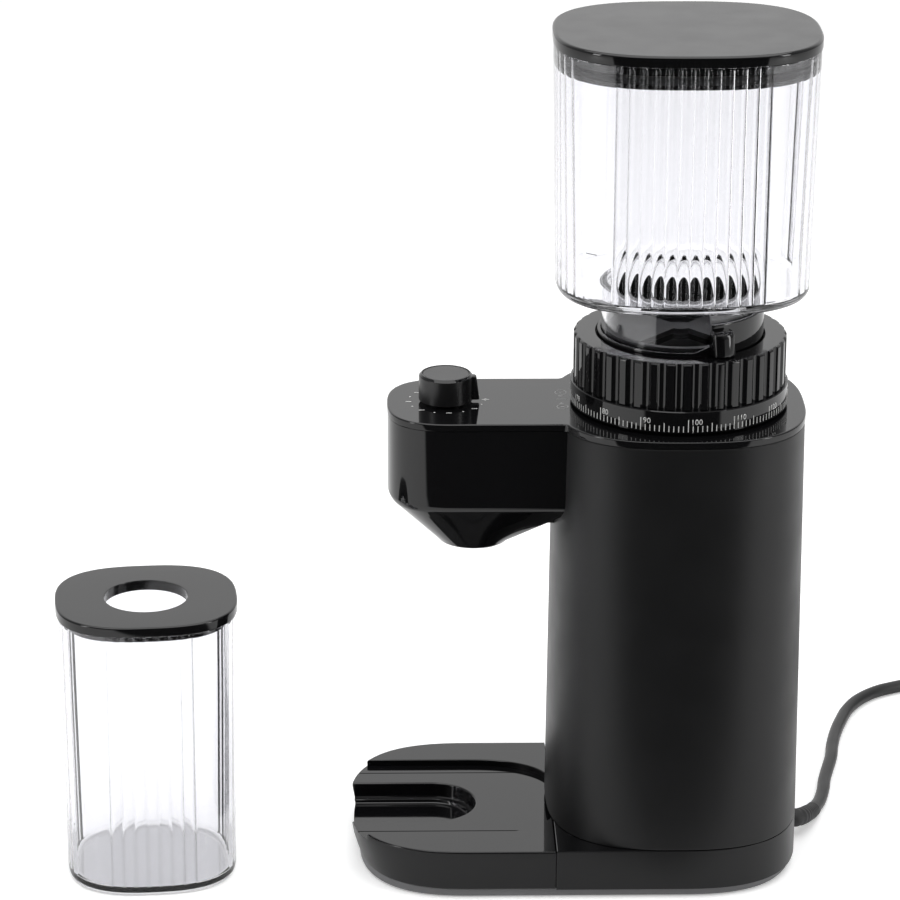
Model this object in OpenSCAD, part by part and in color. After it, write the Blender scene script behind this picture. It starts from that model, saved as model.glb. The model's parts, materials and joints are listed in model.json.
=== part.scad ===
// Conical burr coffee grinder with a clear bean hopper and a grounds container.
// Millimetres, +Z up. The origin is on the burr axis at the table, the spout
// arm points to -Y and the cord leaves at the back, towards +Y.

/* [Housing] */
// Half the width of the base, at the table
base_half_x = 59; // [56:1:64]
// Half the length of the column's foot
base_half_y = 56.4; // [54:0.2:60]
// Squareness of every rounded-square outline
corner_n = 2.7; // [2.3:0.1:3.2]
// Height of the base's top edge
base_top = 23.2; // [22:0.2:28]
// Height of the column shell's top edge
column_top = 209.4; // [205:0.2:216]
// Half the column's width at its top
column_top_half_x = 54; // [52:0.5:57]
// Half the column's length at its top
column_top_half_y = 54.8; // [53:0.2:56.4]
// Wall of the column shell
column_wall = 2.4; // [1.8:0.1:3]
// Wall of the base moulding
base_wall = 2.6; // [2:0.1:3.4]
// Thickness of the floor plate under the base
floor_t = 3.5; // [3:0.1:5]
// Gap between the floor plate and the table
floor_lift = 1; // [0.6:0.1:2]
// How far the floor plate is set in from the base's outline
floor_inset = 2.5; // [1.5:0.5:4]
// Thickness of the gloss plate over the column and the arm
top_plate_t = 3.3; // [2.6:0.1:4]
// Radius of a rubber foot
foot_r = 7; // [5:0.5:9]
// Height of a rubber foot
foot_h = 2.5; // [2.2:0.1:3]

/* [Catch tray] */
// Distance from the burr axis to the tray's nose
tray_reach = 145; // [138:1:152]
// Distance from the burr axis to the seam between the tray and the base
seam_reach = 53.6; // [52:0.2:54.4]
// Wall of the tray
tray_wall = 2.4; // [2:0.1:3]
// Half the width of the container's recess in the tray
recess_half = 39.5; // [39:0.5:42]
// Depth of that recess
recess_d = 3; // [2:0.5:4]
// Half the width of the open slot in the tray's middle
slot_half = 20; // [16:1:24]
// Depth of the slot below the tray's top
slot_d = 11.6; // [9:0.1:13]
// Distance from the burr axis to the slot's round end
slot_reach = 88; // [84:1:96]

/* [Spout arm] */
// Half the width of the arm
arm_half = 30.7; // [28:0.1:33]
// Distance from the burr axis to the arm's nose
arm_reach = 127.6; // [122:0.2:132]
// Length of the rounded part of the arm's nose
arm_nose = 30; // [26:1:34]
// Height of the arm's lower edge
arm_bottom = 171.5; // [170:0.5:174]
// Wall of the arm
arm_wall = 2.2; // [1.8:0.1:2.6]
// Distance from the burr axis to the outlet's centre
outlet_reach = 88; // [84:1:92]
// Height of the outlet's lower edge
outlet_bottom = 148; // [144:1:152]
// Radius of the funnel's lower edge
funnel_r = 12; // [11.5:0.1:13]
// Bore of the outlet tube
outlet_bore = 7.9; // [7:0.1:8.4]
// Wall of the outlet tube
outlet_wall = 1.5; // [1.2:0.1:1.8]

/* [Control knob] */
// Distance from the arm's nose to the knob's centre
knob_back = 25.6; // [24:0.2:28]
// Radius of the knob at its foot
knob_r = 11.9; // [11:0.1:13]
// Radius of the knob below the bevel at its top
knob_shoulder_r = 11.5; // [11:0.1:12]
// Radius of the knob's top face
knob_top_r = 10.6; // [9.6:0.1:11]
// Height of the knob
knob_h = 12; // [10:0.5:14]
// Travel of the knob when it is pressed
knob_travel = 0.8; // [0.5:0.1:1]
// How far the pointer reaches from the knob's centre
pointer_reach = 14.7; // [13.5:0.1:16]
// Radius of the knob's spindle
spindle_r = 3; // [2.5:0.1:3.2]

/* [Adjusting ring] */
// Outer radius of the numbered band
scale_r = 47.5; // [46.5:0.1:49]
// Height of the numbered band
scale_h = 10; // [9:0.5:12]
// Outer radius of the fluted grip
grip_r = 46.4; // [45.6:0.1:46.5]
// Height of the adjusting ring, with its band
ring_h = 31; // [29:0.5:34]
// Number of grip flutes
flutes = 40; // [30:1:48]
// Radius of the opening in the ring's top
ring_mouth_r = 36.9; // [36.7:0.1:37.5]
// Gap between the ring's lower edge and the top plate
ring_lift = 1.3; // [1:0.1:2]

/* [Bean hopper] */
// Height of the hopper's lower edge
hopper_bottom = 266; // [264:1:272]
// Height of the hopper's rim
hopper_rim = 375; // [360:1:384]
// Half the hopper's width at its rim
hopper_half_x = 49; // [47:0.5:54]
// Half the hopper's length at its rim
hopper_half_y = 56.8; // [54:0.1:58]
// How much each wall leans in from the rim to the bottom
hopper_draft = 1.8; // [1:0.1:2.5]
// Wall of the hopper
hopper_wall = 2.4; // [2:0.1:2.8]
// Outer radius of the hopper's neck
neck_r = 34.4; // [33.8:0.1:34.8]
// Wall of the neck
neck_wall = 2; // [1.6:0.1:2.4]
// Number of flutes on each face of the hopper
hopper_flutes = 12; // [8:1:14]
// Pitch of the flutes on both clear vessels
flute_pitch = 5.4; // [4.8:0.1:5.8]
// Depth of those flutes
flute_d = 0.6; // [0.4:0.1:0.9]
// Thickness of the hopper lid's edge
lid_t = 5; // [4:0.5:7]
// How far the lid's edge overhangs the hopper
lid_over = 0.4; // [0.2:0.1:1.2]
// Depth of the lid's skirt inside the hopper
skirt_d = 10.3; // [9:0.1:14]
// Wall of the lid's skirt
skirt_wall = 2; // [1.6:0.1:2.4]
// Wall of the locking collar
collar_wall = 1.5; // [1.2:0.1:1.6]
// Angle of the collar's lever, from +X towards +Y
lever_angle = 24; // [20:1:34]

/* [Grinding unit] */
// Outer radius of the grinding chamber
chamber_r = 41; // [40.4:0.1:41.2]
// Wall of the grinding chamber
chamber_wall = 2.6; // [2.4:0.1:3]
// Largest radius of the cone burr
burr_r = 19.6; // [18.6:0.2:19.8]
// Height of the burrs
burr_h = 20; // [18:1:21]
// Number of teeth on each burr
burr_teeth = 36; // [30:2:40]
// Radius of the burr shaft
shaft_r = 4; // [3.5:0.1:4.4]
// Radius of the motor
motor_r = 27; // [24:0.5:29]
// Length of the motor
motor_len = 71; // [60:1:76]

/* [Grounds container] */
// Height of the container with its lid
container_h = 129; // [122:1:134]
// Half the container's width at its rim
container_half_x = 40.2; // [38:0.1:41]
// Half the container's length at its rim
container_half_y = 39; // [37:0.1:40]
// How much each wall leans in from the rim to the bottom
container_draft = 1.4; // [1:0.1:2.6]
// Wall of the container
container_wall = 2.2; // [1.8:0.1:2.6]
// Number of flutes on each face of the container
container_flutes = 9; // [6:1:10]
// Thickness of the container lid's edge
container_lid_t = 4.6; // [4:0.2:6]
// Radius of the hole in the container's lid
filling_r = 18.9; // [16:0.1:21]
// Where the container stands, beside the burr axis
container_x = 22; // [10:1:30]
// Where the container stands, in front of the burr axis
container_y = 233.5; // [230:0.5:245]
// How far the container is turned about +Z
container_turn = 5; // [0:1:10]

/* [Cord] */
// Diameter of the cord
cord_d = 6; // [5:0.5:6.5]
// Radius of the coil at its middle turn
coil_r = 33; // [30:1:36]

/* [Hidden] */
$fn = 64;
eps = 0.01;

// Clearances: moving, running and seated.
gap = 0.3;
run_gap = 0.05;
seat_gap = 0.02;

// Points on a rounded-square outline.
outline_points = 72;

// Heights of the base.
plate_top = floor_lift + floor_t;
screw_seat = floor_lift + 2.6;
foot_in = foot_r + 14;
vent_w = 2.4;
vent_pitch = 5;
vent_from = foot_r + 4;
vent_half = 15;

tray_low = plate_top + gap;
tray_top = base_top - gap;
slot_z = tray_top - slot_d;

// The inner frame, on four posts.
post_x = 30;
post_y = 24;
post_r = 4.5;
deck_t = 3;
board_half = post_x + 4;
board_z = plate_top + 30;
board_t = 1.6;

// The gearbox, from its floor up.
gear_floor_t = 3;
gear_h = 8;
pinion_h = 13;
gear_room = 1.2;
pinion_teeth = 12;
wheel_teeth = 42;
motor_screw_r = 16;
motor_shaft_r = 2.5;
pinion_shaft_r = 2;
axle_r = 3;
deck_top = plate_top + 116.5;
case_floor_top = deck_top + gear_floor_t;
wheel_z = case_floor_top + 2;
idler_pinion_z = wheel_z + gear_h;
output_z = idler_pinion_z + 2.5;
output_h = 10;
case_top = output_z + output_h + 5;
cover_t = 6;
cover_top = case_top + cover_t;
case_wall = 2.2;

// The gears take the room that the column leaves behind the burr axis.
tip_share = 0.8;
case_gap = 0.65;
column_room = min(column_half_y(deck_top), column_half_y(cover_top)) - column_wall;
gear_room_share = wheel_teeth + pinion_teeth / 2 + tip_share;
gear_module = (column_room - case_gap - case_wall - gear_room) / gear_room_share;
wheel_tip_r = gear_module * (wheel_teeth / 2 + tip_share);
idler_y = gear_module * (wheel_teeth + pinion_teeth) / 2;
case_r = wheel_tip_r + gear_room;
boss_r = 4;

// Bearings.
bearing_h = 5;
bearing_r = 8;

// The grinding chamber, on the gearbox cover.
chamber_floor_t = 6;
chamber_floor = cover_top + chamber_floor_t;
chamber_in = chamber_r - chamber_wall;
plate_z = column_top;
plate_up = column_top + top_plate_t;
ring_z = plate_up + ring_lift;
ring_top = ring_z + ring_h;
ring_lid_t = 4;
flute_depth = 1.2;
flute_cut_r = 2.3;
flute_top = 1.6;
cap_top = ring_top - ring_lid_t - gap;
cap_t = 1.5;
cap_z = cap_top - cap_t;
sweeper_z = chamber_floor + 1;
sweeper_t = 2;
paddle_h = 6;
paddle_from = 22;
port_half = 12;
port_h = 13;
port_wall = 2.4;

// The carrier travels this far down and up from rest.
carrier_down = 1.3;
carrier_up = 1.6;
carrier_z = sweeper_z + sweeper_t + paddle_h + carrier_down + 3.7;
carrier_top = cap_z - carrier_up - 0.7;
carrier_r = chamber_in - gap;
ring_burr_r = burr_r + 5.4;
burr_gap = 1.1;
burr_top_scale = 0.56;
burr_z = carrier_z + 5;
auger_h = 6;
key_w = 4;
key_d = 1.3;

// The duct from the chamber to the outlet.
duct_half = port_half + port_wall;
duct_z = chamber_floor - port_wall;
duct_top = chamber_floor + port_h + port_wall;
duct_start = column_top_half_y + 2.5;
duct_end = outlet_reach + 17;
chute_wall = 2;

// The hopper and its collar.
neck_z = cap_top + 0.2;
neck_in = neck_r - neck_wall;
gate_z = neck_z + 2;
gate_t = 2.5;
shutter_t = 2;
shutter_z = gate_z + gate_t + gap;
shutter_r = neck_in - gap;
gate_half_angle = 40;
gate_hub = 5;
collar_back = 88;
collar_in = neck_r + gap;
collar_out = collar_in + collar_wall;
collar_low = 5.5;
collar_high = 17.5;
lever_w = 10;
lever_sweep = 90;
lever_reach = 6.4;
lever_h = 11;
hopper_edge = 4;
seal_up = 2;
seal_h = 4;
hopper_floor_t = 3.2;

// The knob.
knob_reach = arm_reach - knob_back;
bevel_h = 1.6;
pointer_w = 4;
pointer_top = knob_h - 1.2;
pointer_lean = 1.4;
knob_z = plate_up + knob_travel + 0.5;
bush_wall = 1;
bush_top = knob_z + 1;
encoder_half = 6.5;
encoder_h = 6;
encoder_z = plate_z - encoder_h - gap * 2;

// The cord's route, from the strain relief to the coil.
cord_r = cord_d / 2;
relief_wall = 1.4;
relief_from = [-4, base_half_y + 3, plate_top + cord_r + relief_wall + gap];
cord_route = [
    [-24, 69, 4], [-35, 73, 3], [-47, 76, 3], [-59, 78, 3],
    [-72, 81, 3], [-85, 84, 3], [-98, 86, 3], [-112, 89, 3], [-126, 93, 3],
    [-140, 98, 3], [-152, 105, 3], [-162, 115, 3], [-169, 128, 3],
    [-175, 140.5, 3], [-179.3, 150.6, 3]
];
coil_centre = [-208, 180];
tail_route = [
    [-172.5, 152.2, 6], [-168.5, 157.5, 4.5], [-162, 163.3, 4], [-154.5, 167.8, 4],
    [-146.5, 170.3, 4.5], [-138.3, 171.2, 5.5], [-130, 171.2, 6]
];
plug_boot = 20;
plug_len = 24;
plug_half = 9;
plug_h = 12;
pin_len = 17;

// ---------------------------------------------------------------- outlines

function signed_pow(v, e) = sign(v) * pow(abs(v), e);

// A rounded square with half sizes hx and hy.
function rounded_square(hx, hy) = [
    for (i = [0 : outline_points - 1])
        let (t = 360 * i / outline_points)
        [
            hx * signed_pow(cos(t), 2 / corner_n),
            hy * signed_pow(sin(t), 2 / corner_n)
        ]
];

// How far that outline lies from the middle, at a place along its side.
function side_at(half, other_half, along) =
    half * pow(1 - pow(abs(along) / other_half, corner_n), 1 / corner_n);

// One fluted side of a rounded square, with four points to a flute.
function fluted_side(half, other_half, count) = [
    for (i = [0 : count - 1], s = [0 : 3])
        let (along = (i + s / 4 - count / 2) * flute_pitch)
        [
            side_at(half, other_half, along) - (s == 1 || s == 2 ? flute_d : 0),
            along
        ]
];

// The plain corner between two fluted sides.
function plain_corner(hx, hy, count) =
    let (
        reach = count * flute_pitch / 2,
        from = asin(pow(reach / hy, corner_n / 2)),
        to = acos(pow(reach / hx, corner_n / 2))
    )
    [
        for (i = [0 : 6])
            let (t = from + (to - from) * i / 6)
            [hx * signed_pow(cos(t), 2 / corner_n), hy * signed_pow(sin(t), 2 / corner_n)]
    ];

function flip_x(points) = [for (i = [len(points) - 1 : -1 : 0]) [-points[i][0], points[i][1]]];

function flip_y(points) = [for (i = [len(points) - 1 : -1 : 0]) [points[i][0], -points[i][1]]];

function swap(points) = [for (i = [len(points) - 1 : -1 : 0]) [points[i][1], points[i][0]]];

// A rounded square whose four sides are fluted in their middles.
function fluted_square(hx, hy, count) =
    let (
        right = fluted_side(hx, hy, count),
        back = swap(fluted_side(hy, hx, count)),
        corner = plain_corner(hx, hy, count)
    )
    concat(
        right, corner, back, flip_x(corner),
        flip_x(right), flip_x(flip_y(corner)), flip_y(back), flip_y(corner)
    );

// A gear's outline: root, flank and tip on each side of a tooth.
function involute(a) = tan(a) * 180 / PI - a;

function tooth_angle(r, teeth, pressure = 20) =
    let (
        pitch_r = gear_module * teeth / 2,
        base_r = pitch_r * cos(pressure),
        slack = 0.14 * 180 / PI / pitch_r
    )
    90 / teeth - slack + involute(pressure) - involute(acos(min(1, base_r / r)));

function gear_outline(teeth) =
    let (
        root = gear_module * (teeth / 2 - 1.25),
        tip = gear_module * (teeth / 2 + tip_share),
        middle = (root + tip) / 2,
        step = 360 / teeth
    )
    [
        for (i = [0 : teeth - 1], s = [-3, -2, -1, 1, 2, 3])
            let (
                r = abs(s) == 3 ? root : abs(s) == 2 ? middle : tip,
                a = i * step + sign(s) * tooth_angle(r, teeth)
            )
            [r * cos(a), r * sin(a)]
    ];

// The toothed outline of a burr, which is extruded with a taper and a twist.
function burr_outline(r, depth) = [
    for (i = [0 : 2 * burr_teeth - 1])
        let (a = 180 * i / burr_teeth, q = r - (i % 2) * depth)
        [q * cos(a), q * sin(a)]
];

// Half sizes of the column shell at a height.
function column_half_x(z) =
    base_half_x + (column_top_half_x - base_half_x) * (z - base_top) / (column_top - base_top);

function column_half_y(z) =
    base_half_y + (column_top_half_y - base_half_y) * (z - base_top) / (column_top - base_top);

// ------------------------------------------------------------ shared forms

module rounded_block(hx, hy, h) {
    linear_extrude(h) polygon(rounded_square(hx, hy));
}

module tapered_block(hx, hy, top_hx, top_hy, h) {
    linear_extrude(h, scale = [top_hx / hx, top_hy / hy], slices = 1)
        polygon(rounded_square(hx, hy));
}

// A solid through rounded squares, each given as [half x, half y, height].
module stacked_squares(levels) {
    rings = len(levels);
    count = outline_points;
    points = [
        for (level = levels, p = rounded_square(level[0], level[1])) [p[0], p[1], level[2]]
    ];
    walls = [
        for (i = [0 : rings - 2], k = [0 : count - 1])
            let (a = i * count + k, b = i * count + (k + 1) % count)
            each [[a + count, b + count, b], [a + count, b, a]]
    ];
    low = [for (k = [0 : count - 1]) k];
    high = [for (k = [count - 1 : -1 : 0]) (rings - 1) * count + k];
    polyhedron(points, concat(walls, [low, high]));
}

module tube(r_out, r_in, h) {
    difference() {
        cylinder(r = r_out, h = h);
        translate([0, 0, -1]) cylinder(r = r_in, h = h + 2);
    }
}

// A ring sector that covers an angle on each side of a direction.
module sector(direction, half_angle, r_in, r_out, h) {
    rotate([0, 0, direction - half_angle])
        rotate_extrude(angle = 2 * half_angle) translate([r_in, 0]) square([r_out - r_in, h]);
}

module screw(length, head_r = 2.8, thread_r = 1.5) {
    cylinder(r = thread_r, h = length);
    cylinder(r = head_r, h = 2);
}

module at_posts() {
    for (x = [-post_x, post_x], y = [-post_y, post_y]) translate([x, y, 0]) children();
}

// The base seen from above: round at the back, with straight sides to the seam.
module base_block(inset, z, h) {
    width = 2 * (base_half_x - inset);
    translate([0, 0, z]) {
        intersection() {
            rounded_block(base_half_x - inset, base_half_y - inset, h);
            translate([-base_half_x, 0, -1]) cube([2 * base_half_x, base_half_y, h + 2]);
        }
        translate([-width / 2, -seam_reach, 0]) cube([width, seam_reach + eps, h]);
    }
}

// The tray seen from above: the same corners, carried forward.
module tray_block(inset, z, h, back) {
    nose_y = tray_reach - base_half_y;
    translate([0, 0, z])
        intersection() {
            union() {
                translate([0, -nose_y, 0])
                    rounded_block(base_half_x - inset, base_half_y - inset, h);
                translate([inset - base_half_x, -nose_y, 0])
                    cube([2 * (base_half_x - inset), nose_y - back, h]);
            }
            translate([-base_half_x, -tray_reach, 0])
                cube([2 * base_half_x, tray_reach - back, h]);
        }
}

module arm_block(inset, z, h, back) {
    nose_y = arm_reach - arm_nose;
    translate([0, 0, z]) {
        translate([0, -nose_y, 0]) rounded_block(arm_half - inset, arm_nose - inset, h);
        translate([inset - arm_half, -nose_y, 0])
            cube([2 * (arm_half - inset), nose_y - back, h]);
    }
}

module gearbox_block(inset, z, h) {
    translate([0, 0, z]) {
        cylinder(r = case_r + case_wall - inset, h = h);
        translate([0, idler_y, 0]) cylinder(r = case_r + case_wall - inset, h = h);
        translate([inset - case_r - case_wall, 0, 0])
            cube([2 * (case_r + case_wall - inset), idler_y, h]);
    }
}

module ball_bearing(z) {
    translate([0, 0, z])
        difference() {
            tube(bearing_r - seat_gap, shaft_r + run_gap, bearing_h);
            translate([0, 0, bearing_h - 0.6]) tube(bearing_r - 1.2, shaft_r + 1.4, 1);
        }
}

// A tube swept along a route, with one ring of sides at each point.
function route_direction(route, i) =
    let (d = route[min(i + 1, len(route) - 1)] - route[max(i - 1, 0)])
    d / norm(d);

function route_ring(route, i, r, sides) =
    let (
        d = route_direction(route, i),
        side = cross(d, [0, 0, 1]) / norm(cross(d, [0, 0, 1])),
        up = cross(side, d)
    )
    [for (k = [0 : sides - 1]) route[i] + r * (side * cos(360 * k / sides) + up * sin(360 * k / sides))];

module swept_tube(route, r, sides = 8) {
    rings = len(route);
    points = [for (i = [0 : rings - 1]) each route_ring(route, i, r, sides)];
    walls = [
        for (i = [0 : rings - 2], k = [0 : sides - 1])
            let (n = (k + 1) % sides)
            [i * sides + k, (i + 1) * sides + k, (i + 1) * sides + n, i * sides + n]
    ];
    first = [for (k = [0 : sides - 1]) k];
    last = [for (k = [sides - 1 : -1 : 0]) (rings - 1) * sides + k];
    polyhedron(points, concat([first], walls, [last]));
}

// -------------------------------------------------------------------- base

module at_feet() {
    side = base_half_x - foot_in;
    for (x = [-side, side], y = [foot_in + 1 - tray_reach, base_half_y - foot_in - 1])
        translate([x, y, 0]) children();
    children();
}

module rubber_feet() {
    color("#1c1c1c") at_feet() cylinder(r = foot_r, h = foot_h);
}

module base_plate() {
    rail_x = slot_half + tray_wall + gap;
    color("#6d6e70") {
        difference() {
            union() {
                base_block(floor_inset, floor_lift, floor_t);
                tray_block(floor_inset, floor_lift, floor_t, 0);
            }
            at_feet() translate([0, 0, -1]) cylinder(r = foot_r + seat_gap, h = foot_h + 1);
            at_posts() translate([0, 0, -1]) cylinder(r = 1.7, h = plate_top + 2);
            at_posts() translate([0, 0, -1]) cylinder(r = 3, h = screw_seat + 1);
            for (i = [0 : 5], s = [-1, 1])
                translate([s * (vent_from + i * vent_pitch) - vent_w / 2, -vent_half, 0])
                    cube([vent_w, 2 * vent_half, plate_top + 1]);
        }
        for (s = [-1, 1])
            translate([s * (rail_x + 1) - 1, -tray_reach + 28, plate_top])
                cube([2, tray_reach - seam_reach - 34, slot_z - tray_wall + 2.5 - plate_top]);
    }
}

module base_body() {
    ledge = 4;
    color("#1b1b1c")
        difference() {
            base_block(0, plate_top, base_top - plate_top);
            difference() {
                translate([0, 0, plate_top - 1])
                    rounded_block(base_half_x - base_wall, base_half_y - base_wall,
                                  base_top - plate_top - base_wall + 1);
                translate([-base_half_x, -seam_reach - 10, 0])
                    cube([2 * base_half_x, 10 + base_wall, base_top]);
            }
            translate([0, 0, plate_top])
                rounded_block(base_half_x - base_wall - ledge, seam_reach - base_wall - ledge, base_top);
            translate([relief_from[0], base_half_y - 2 * base_wall, relief_from[2]]) rotate([-90, 0, 0])
                cylinder(r = cord_r + relief_wall + seat_gap, h = 3 * base_wall);
        }
}

module base_screws() {
    color("#8c8c90") at_posts() translate([0, 0, screw_seat - 2]) screw(12);
}

module column_shell() {
    h = column_top - base_top;
    foot_x = base_half_x;
    foot_y = base_half_y;
    window_half = duct_half + gap;
    color("#222223")
        translate([0, 0, base_top])
            difference() {
                tapered_block(foot_x, foot_y, column_top_half_x, column_top_half_y, h);
                translate([0, 0, -eps])
                    tapered_block(foot_x - column_wall, foot_y - column_wall,
                                  column_top_half_x - column_wall,
                                  column_top_half_y - column_wall, h + 2 * eps);
                translate([-window_half, -base_half_y - 5, duct_z - gap - base_top])
                    cube([2 * window_half, base_half_y, duct_top - duct_z + gap * 2]);
            }
}

// ---------------------------------------------------- frame, motor, boards

module inner_frame() {
    deck_z = deck_top - deck_t;
    color("#3a3b3d") {
        difference() {
            translate([0, 0, deck_z])
                rounded_block(column_half_x(deck_top) - column_wall - gap * 2,
                              column_half_y(deck_top) - column_wall - gap * 2, deck_t);
            translate([0, 0, deck_z - 1]) cylinder(r = motor_r + gap, h = deck_t + 2);
        }
        at_posts()
            difference() {
                translate([0, 0, plate_top]) cylinder(r = post_r, h = deck_z - plate_top);
                translate([0, 0, plate_top - 1]) cylinder(r = 1.5 + seat_gap, h = 12);
            }
    }
}

module motor_can() {
    motor_z = deck_top - motor_len;
    color("#9a9ca0")
        difference() {
            translate([0, 0, motor_z]) cylinder(r = motor_r, h = motor_len);
            translate([0, 0, deck_top - 14]) cylinder(r = motor_shaft_r + run_gap, h = 20);
            for (a = [45 : 90 : 315])
                rotate([0, 0, a]) translate([motor_screw_r, 0, deck_top - 8])
                    cylinder(r = 1.5 + seat_gap, h = 10);
        }
}

module motor_end_cap() {
    motor_z = deck_top - motor_len;
    color("#26272a")
        translate([0, 0, motor_z - 6]) {
            cylinder(r = motor_r - 1.5, h = 6);
            translate([0, 0, -5]) cylinder(r = 7, h = 5);
            for (s = [-1, 1]) translate([s * 17 - 3, -0.4, -8]) cube([6, 0.8, 8]);
        }
}

module motor_screws() {
    color("#8c8c90")
        for (a = [45 : 90 : 315])
            rotate([0, 0, a]) translate([motor_screw_r, 0, case_floor_top + 1]) mirror([0, 0, 1]) screw(9, 2.6);
}

module control_board() {
    color("#1f5a38")
        translate([-board_half, post_y + post_r, board_z]) cube([2 * board_half, board_t, 72]);
}

module board_parts() {
    board_y = post_y + post_r + board_t;
    low = board_z;
    color("#30302e") {
        translate([-28, board_y, low + 8]) cube([22, 7, 20]);
        translate([8, board_y, low + 34]) cube([18, 6, 26]);
        translate([6, board_y + 4, low + 12]) cylinder(r = 4, h = 14);
        translate([17, board_y + 4, low + 12]) cylinder(r = 4, h = 14);
        translate([-26, board_y, low + 44]) cube([12, 5, 10]);
    }
}

// ----------------------------------------------------------------- gearbox

module at_cover_screws() {
    reach = case_r + case_wall + 2;
    for (s = [-1, 1], y = [-8, idler_y]) translate([s * reach, y, 0]) children();
}

module gearbox_case() {
    color("#4a4b4e")
        difference() {
            union() {
                gearbox_block(0, deck_top, case_top - deck_top);
                at_cover_screws() translate([0, 0, case_top - 14]) cylinder(r = boss_r, h = 14);
            }
            gearbox_block(case_wall, case_floor_top, case_top);
            at_cover_screws() translate([0, 0, case_top - 9]) cylinder(r = 1.5 + seat_gap, h = 10);
            translate([0, 0, deck_top - 1]) cylinder(r = 8, h = gear_floor_t + 2);
            translate([0, idler_y, deck_top - 1])
                cylinder(r = axle_r + seat_gap, h = gear_floor_t + 2);
            for (a = [45 : 90 : 315])
                rotate([0, 0, a]) translate([motor_screw_r, 0, deck_top - 1])
                    cylinder(r = 1.6, h = gear_floor_t + 2);
            for (a = [45 : 90 : 315])
                rotate([0, 0, a]) translate([motor_screw_r, 0, case_floor_top - 1]) cylinder(r = 2.7, h = 2);
        }
}

module gearbox_cover() {
    color("#4a4b4e")
        difference() {
            union() {
                gearbox_block(0, case_top, cover_t);
                at_cover_screws() translate([0, 0, case_top]) cylinder(r = boss_r, h = cover_t);
            }
            translate([0, 0, case_top - 1]) cylinder(r = shaft_r + 1.5, h = cover_t + 2);
            translate([0, 0, cover_top - bearing_h]) cylinder(r = bearing_r, h = bearing_h + 1);
            translate([0, idler_y, case_top - 1]) cylinder(r = axle_r + seat_gap, h = 4);
            at_cover_screws() translate([0, 0, case_top - 1]) cylinder(r = 1.6, h = cover_t + 2);
            at_cover_screws() translate([0, 0, cover_top - 2]) cylinder(r = 2.9, h = 3);
        }
}

module gearbox_screws() {
    color("#8c8c90")
        at_cover_screws() translate([0, 0, cover_top]) mirror([0, 0, 1]) screw(cover_t + 8);
}

module idler_axle() {
    color("#b9bbbe") translate([0, idler_y, deck_top]) cylinder(r = axle_r, h = case_top + 3 - deck_top);
}

module motor_pinion() {
    color("#c7a252")
        difference() {
            translate([0, 0, wheel_z]) linear_extrude(gear_h)
                polygon(gear_outline(pinion_teeth));
            translate([0, 0, wheel_z - 1]) cylinder(r = pinion_shaft_r, h = gear_h);
        }
    color("#b9bbbe") {
        translate([0, 0, deck_top - 12])
            cylinder(r = motor_shaft_r, h = wheel_z + 1 - deck_top + 12);
        translate([0, 0, wheel_z - 1]) cylinder(r = pinion_shaft_r, h = gear_h);
    }
}

module idler_gear() {
    half_pitch = 180 / wheel_teeth;
    color("#e6e2d4")
        translate([0, idler_y, 0])
            difference() {
                union() {
                    translate([0, 0, wheel_z]) rotate([0, 0, 90 + half_pitch])
                        linear_extrude(gear_h) polygon(gear_outline(wheel_teeth));
                    translate([0, 0, idler_pinion_z - eps]) rotate([0, 0, 90])
                        linear_extrude(pinion_h) polygon(gear_outline(pinion_teeth));
                }
                translate([0, 0, wheel_z - 1])
                    cylinder(r = axle_r + run_gap, h = gear_h + pinion_h + 2);
            }
}

module output_gear() {
    half_pitch = 180 / wheel_teeth;
    color("#e6e2d4")
        translate([0, 0, output_z])
            difference() {
                rotate([0, 0, 90 + half_pitch])
                    linear_extrude(output_h) polygon(gear_outline(wheel_teeth));
                translate([0, 0, -1]) cylinder(r = shaft_r, h = output_h + 2);
            }
}

module lower_bearing() {
    color("#b9bbbe") ball_bearing(cover_top - bearing_h);
}

module upper_bearing() {
    color("#b9bbbe") ball_bearing(chamber_floor - bearing_h);
}

// ---------------------------------------------------------- grinding unit

module burr_shaft() {
    color("#b9bbbe")
        translate([0, 0, output_z]) cylinder(r = shaft_r, h = burr_z + burr_h + auger_h + 3 - output_z);
}

module grounds_sweeper() {
    r = chamber_in - 1.5;
    color("#d8d4c8")
        difference() {
            union() {
                translate([0, 0, sweeper_z]) cylinder(r = r, h = sweeper_t);
                for (a = [0 : 60 : 300])
                    rotate([0, 0, a]) translate([paddle_from, -1, sweeper_z])
                        cube([r - paddle_from - 0.5, 2, sweeper_t + paddle_h]);
                translate([0, 0, sweeper_z]) cylinder(r = 9, h = burr_z - sweeper_z);
            }
            translate([0, 0, sweeper_z - 1]) cylinder(r = shaft_r, h = burr_z);
        }
}

module cone_burr() {
    color("#a9abad")
        translate([0, 0, burr_z])
            difference() {
                linear_extrude(burr_h, scale = burr_top_scale, twist = -24, slices = 4)
                    polygon(burr_outline(burr_r, 1.5));
                translate([0, 0, -1]) cylinder(r = shaft_r, h = burr_h + 2);
            }
}

module ring_burr() {
    r = burr_r + burr_gap;
    color("#a9abad")
        translate([0, 0, burr_z])
            difference() {
                cylinder(r = ring_burr_r, h = burr_h);
                translate([0, 0, -0.5])
                    linear_extrude(burr_h + 1, scale = burr_top_scale + 0.12, twist = 24, slices = 4)
                        polygon(burr_outline(r + 1.3, 1.3));
            }
}

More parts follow.
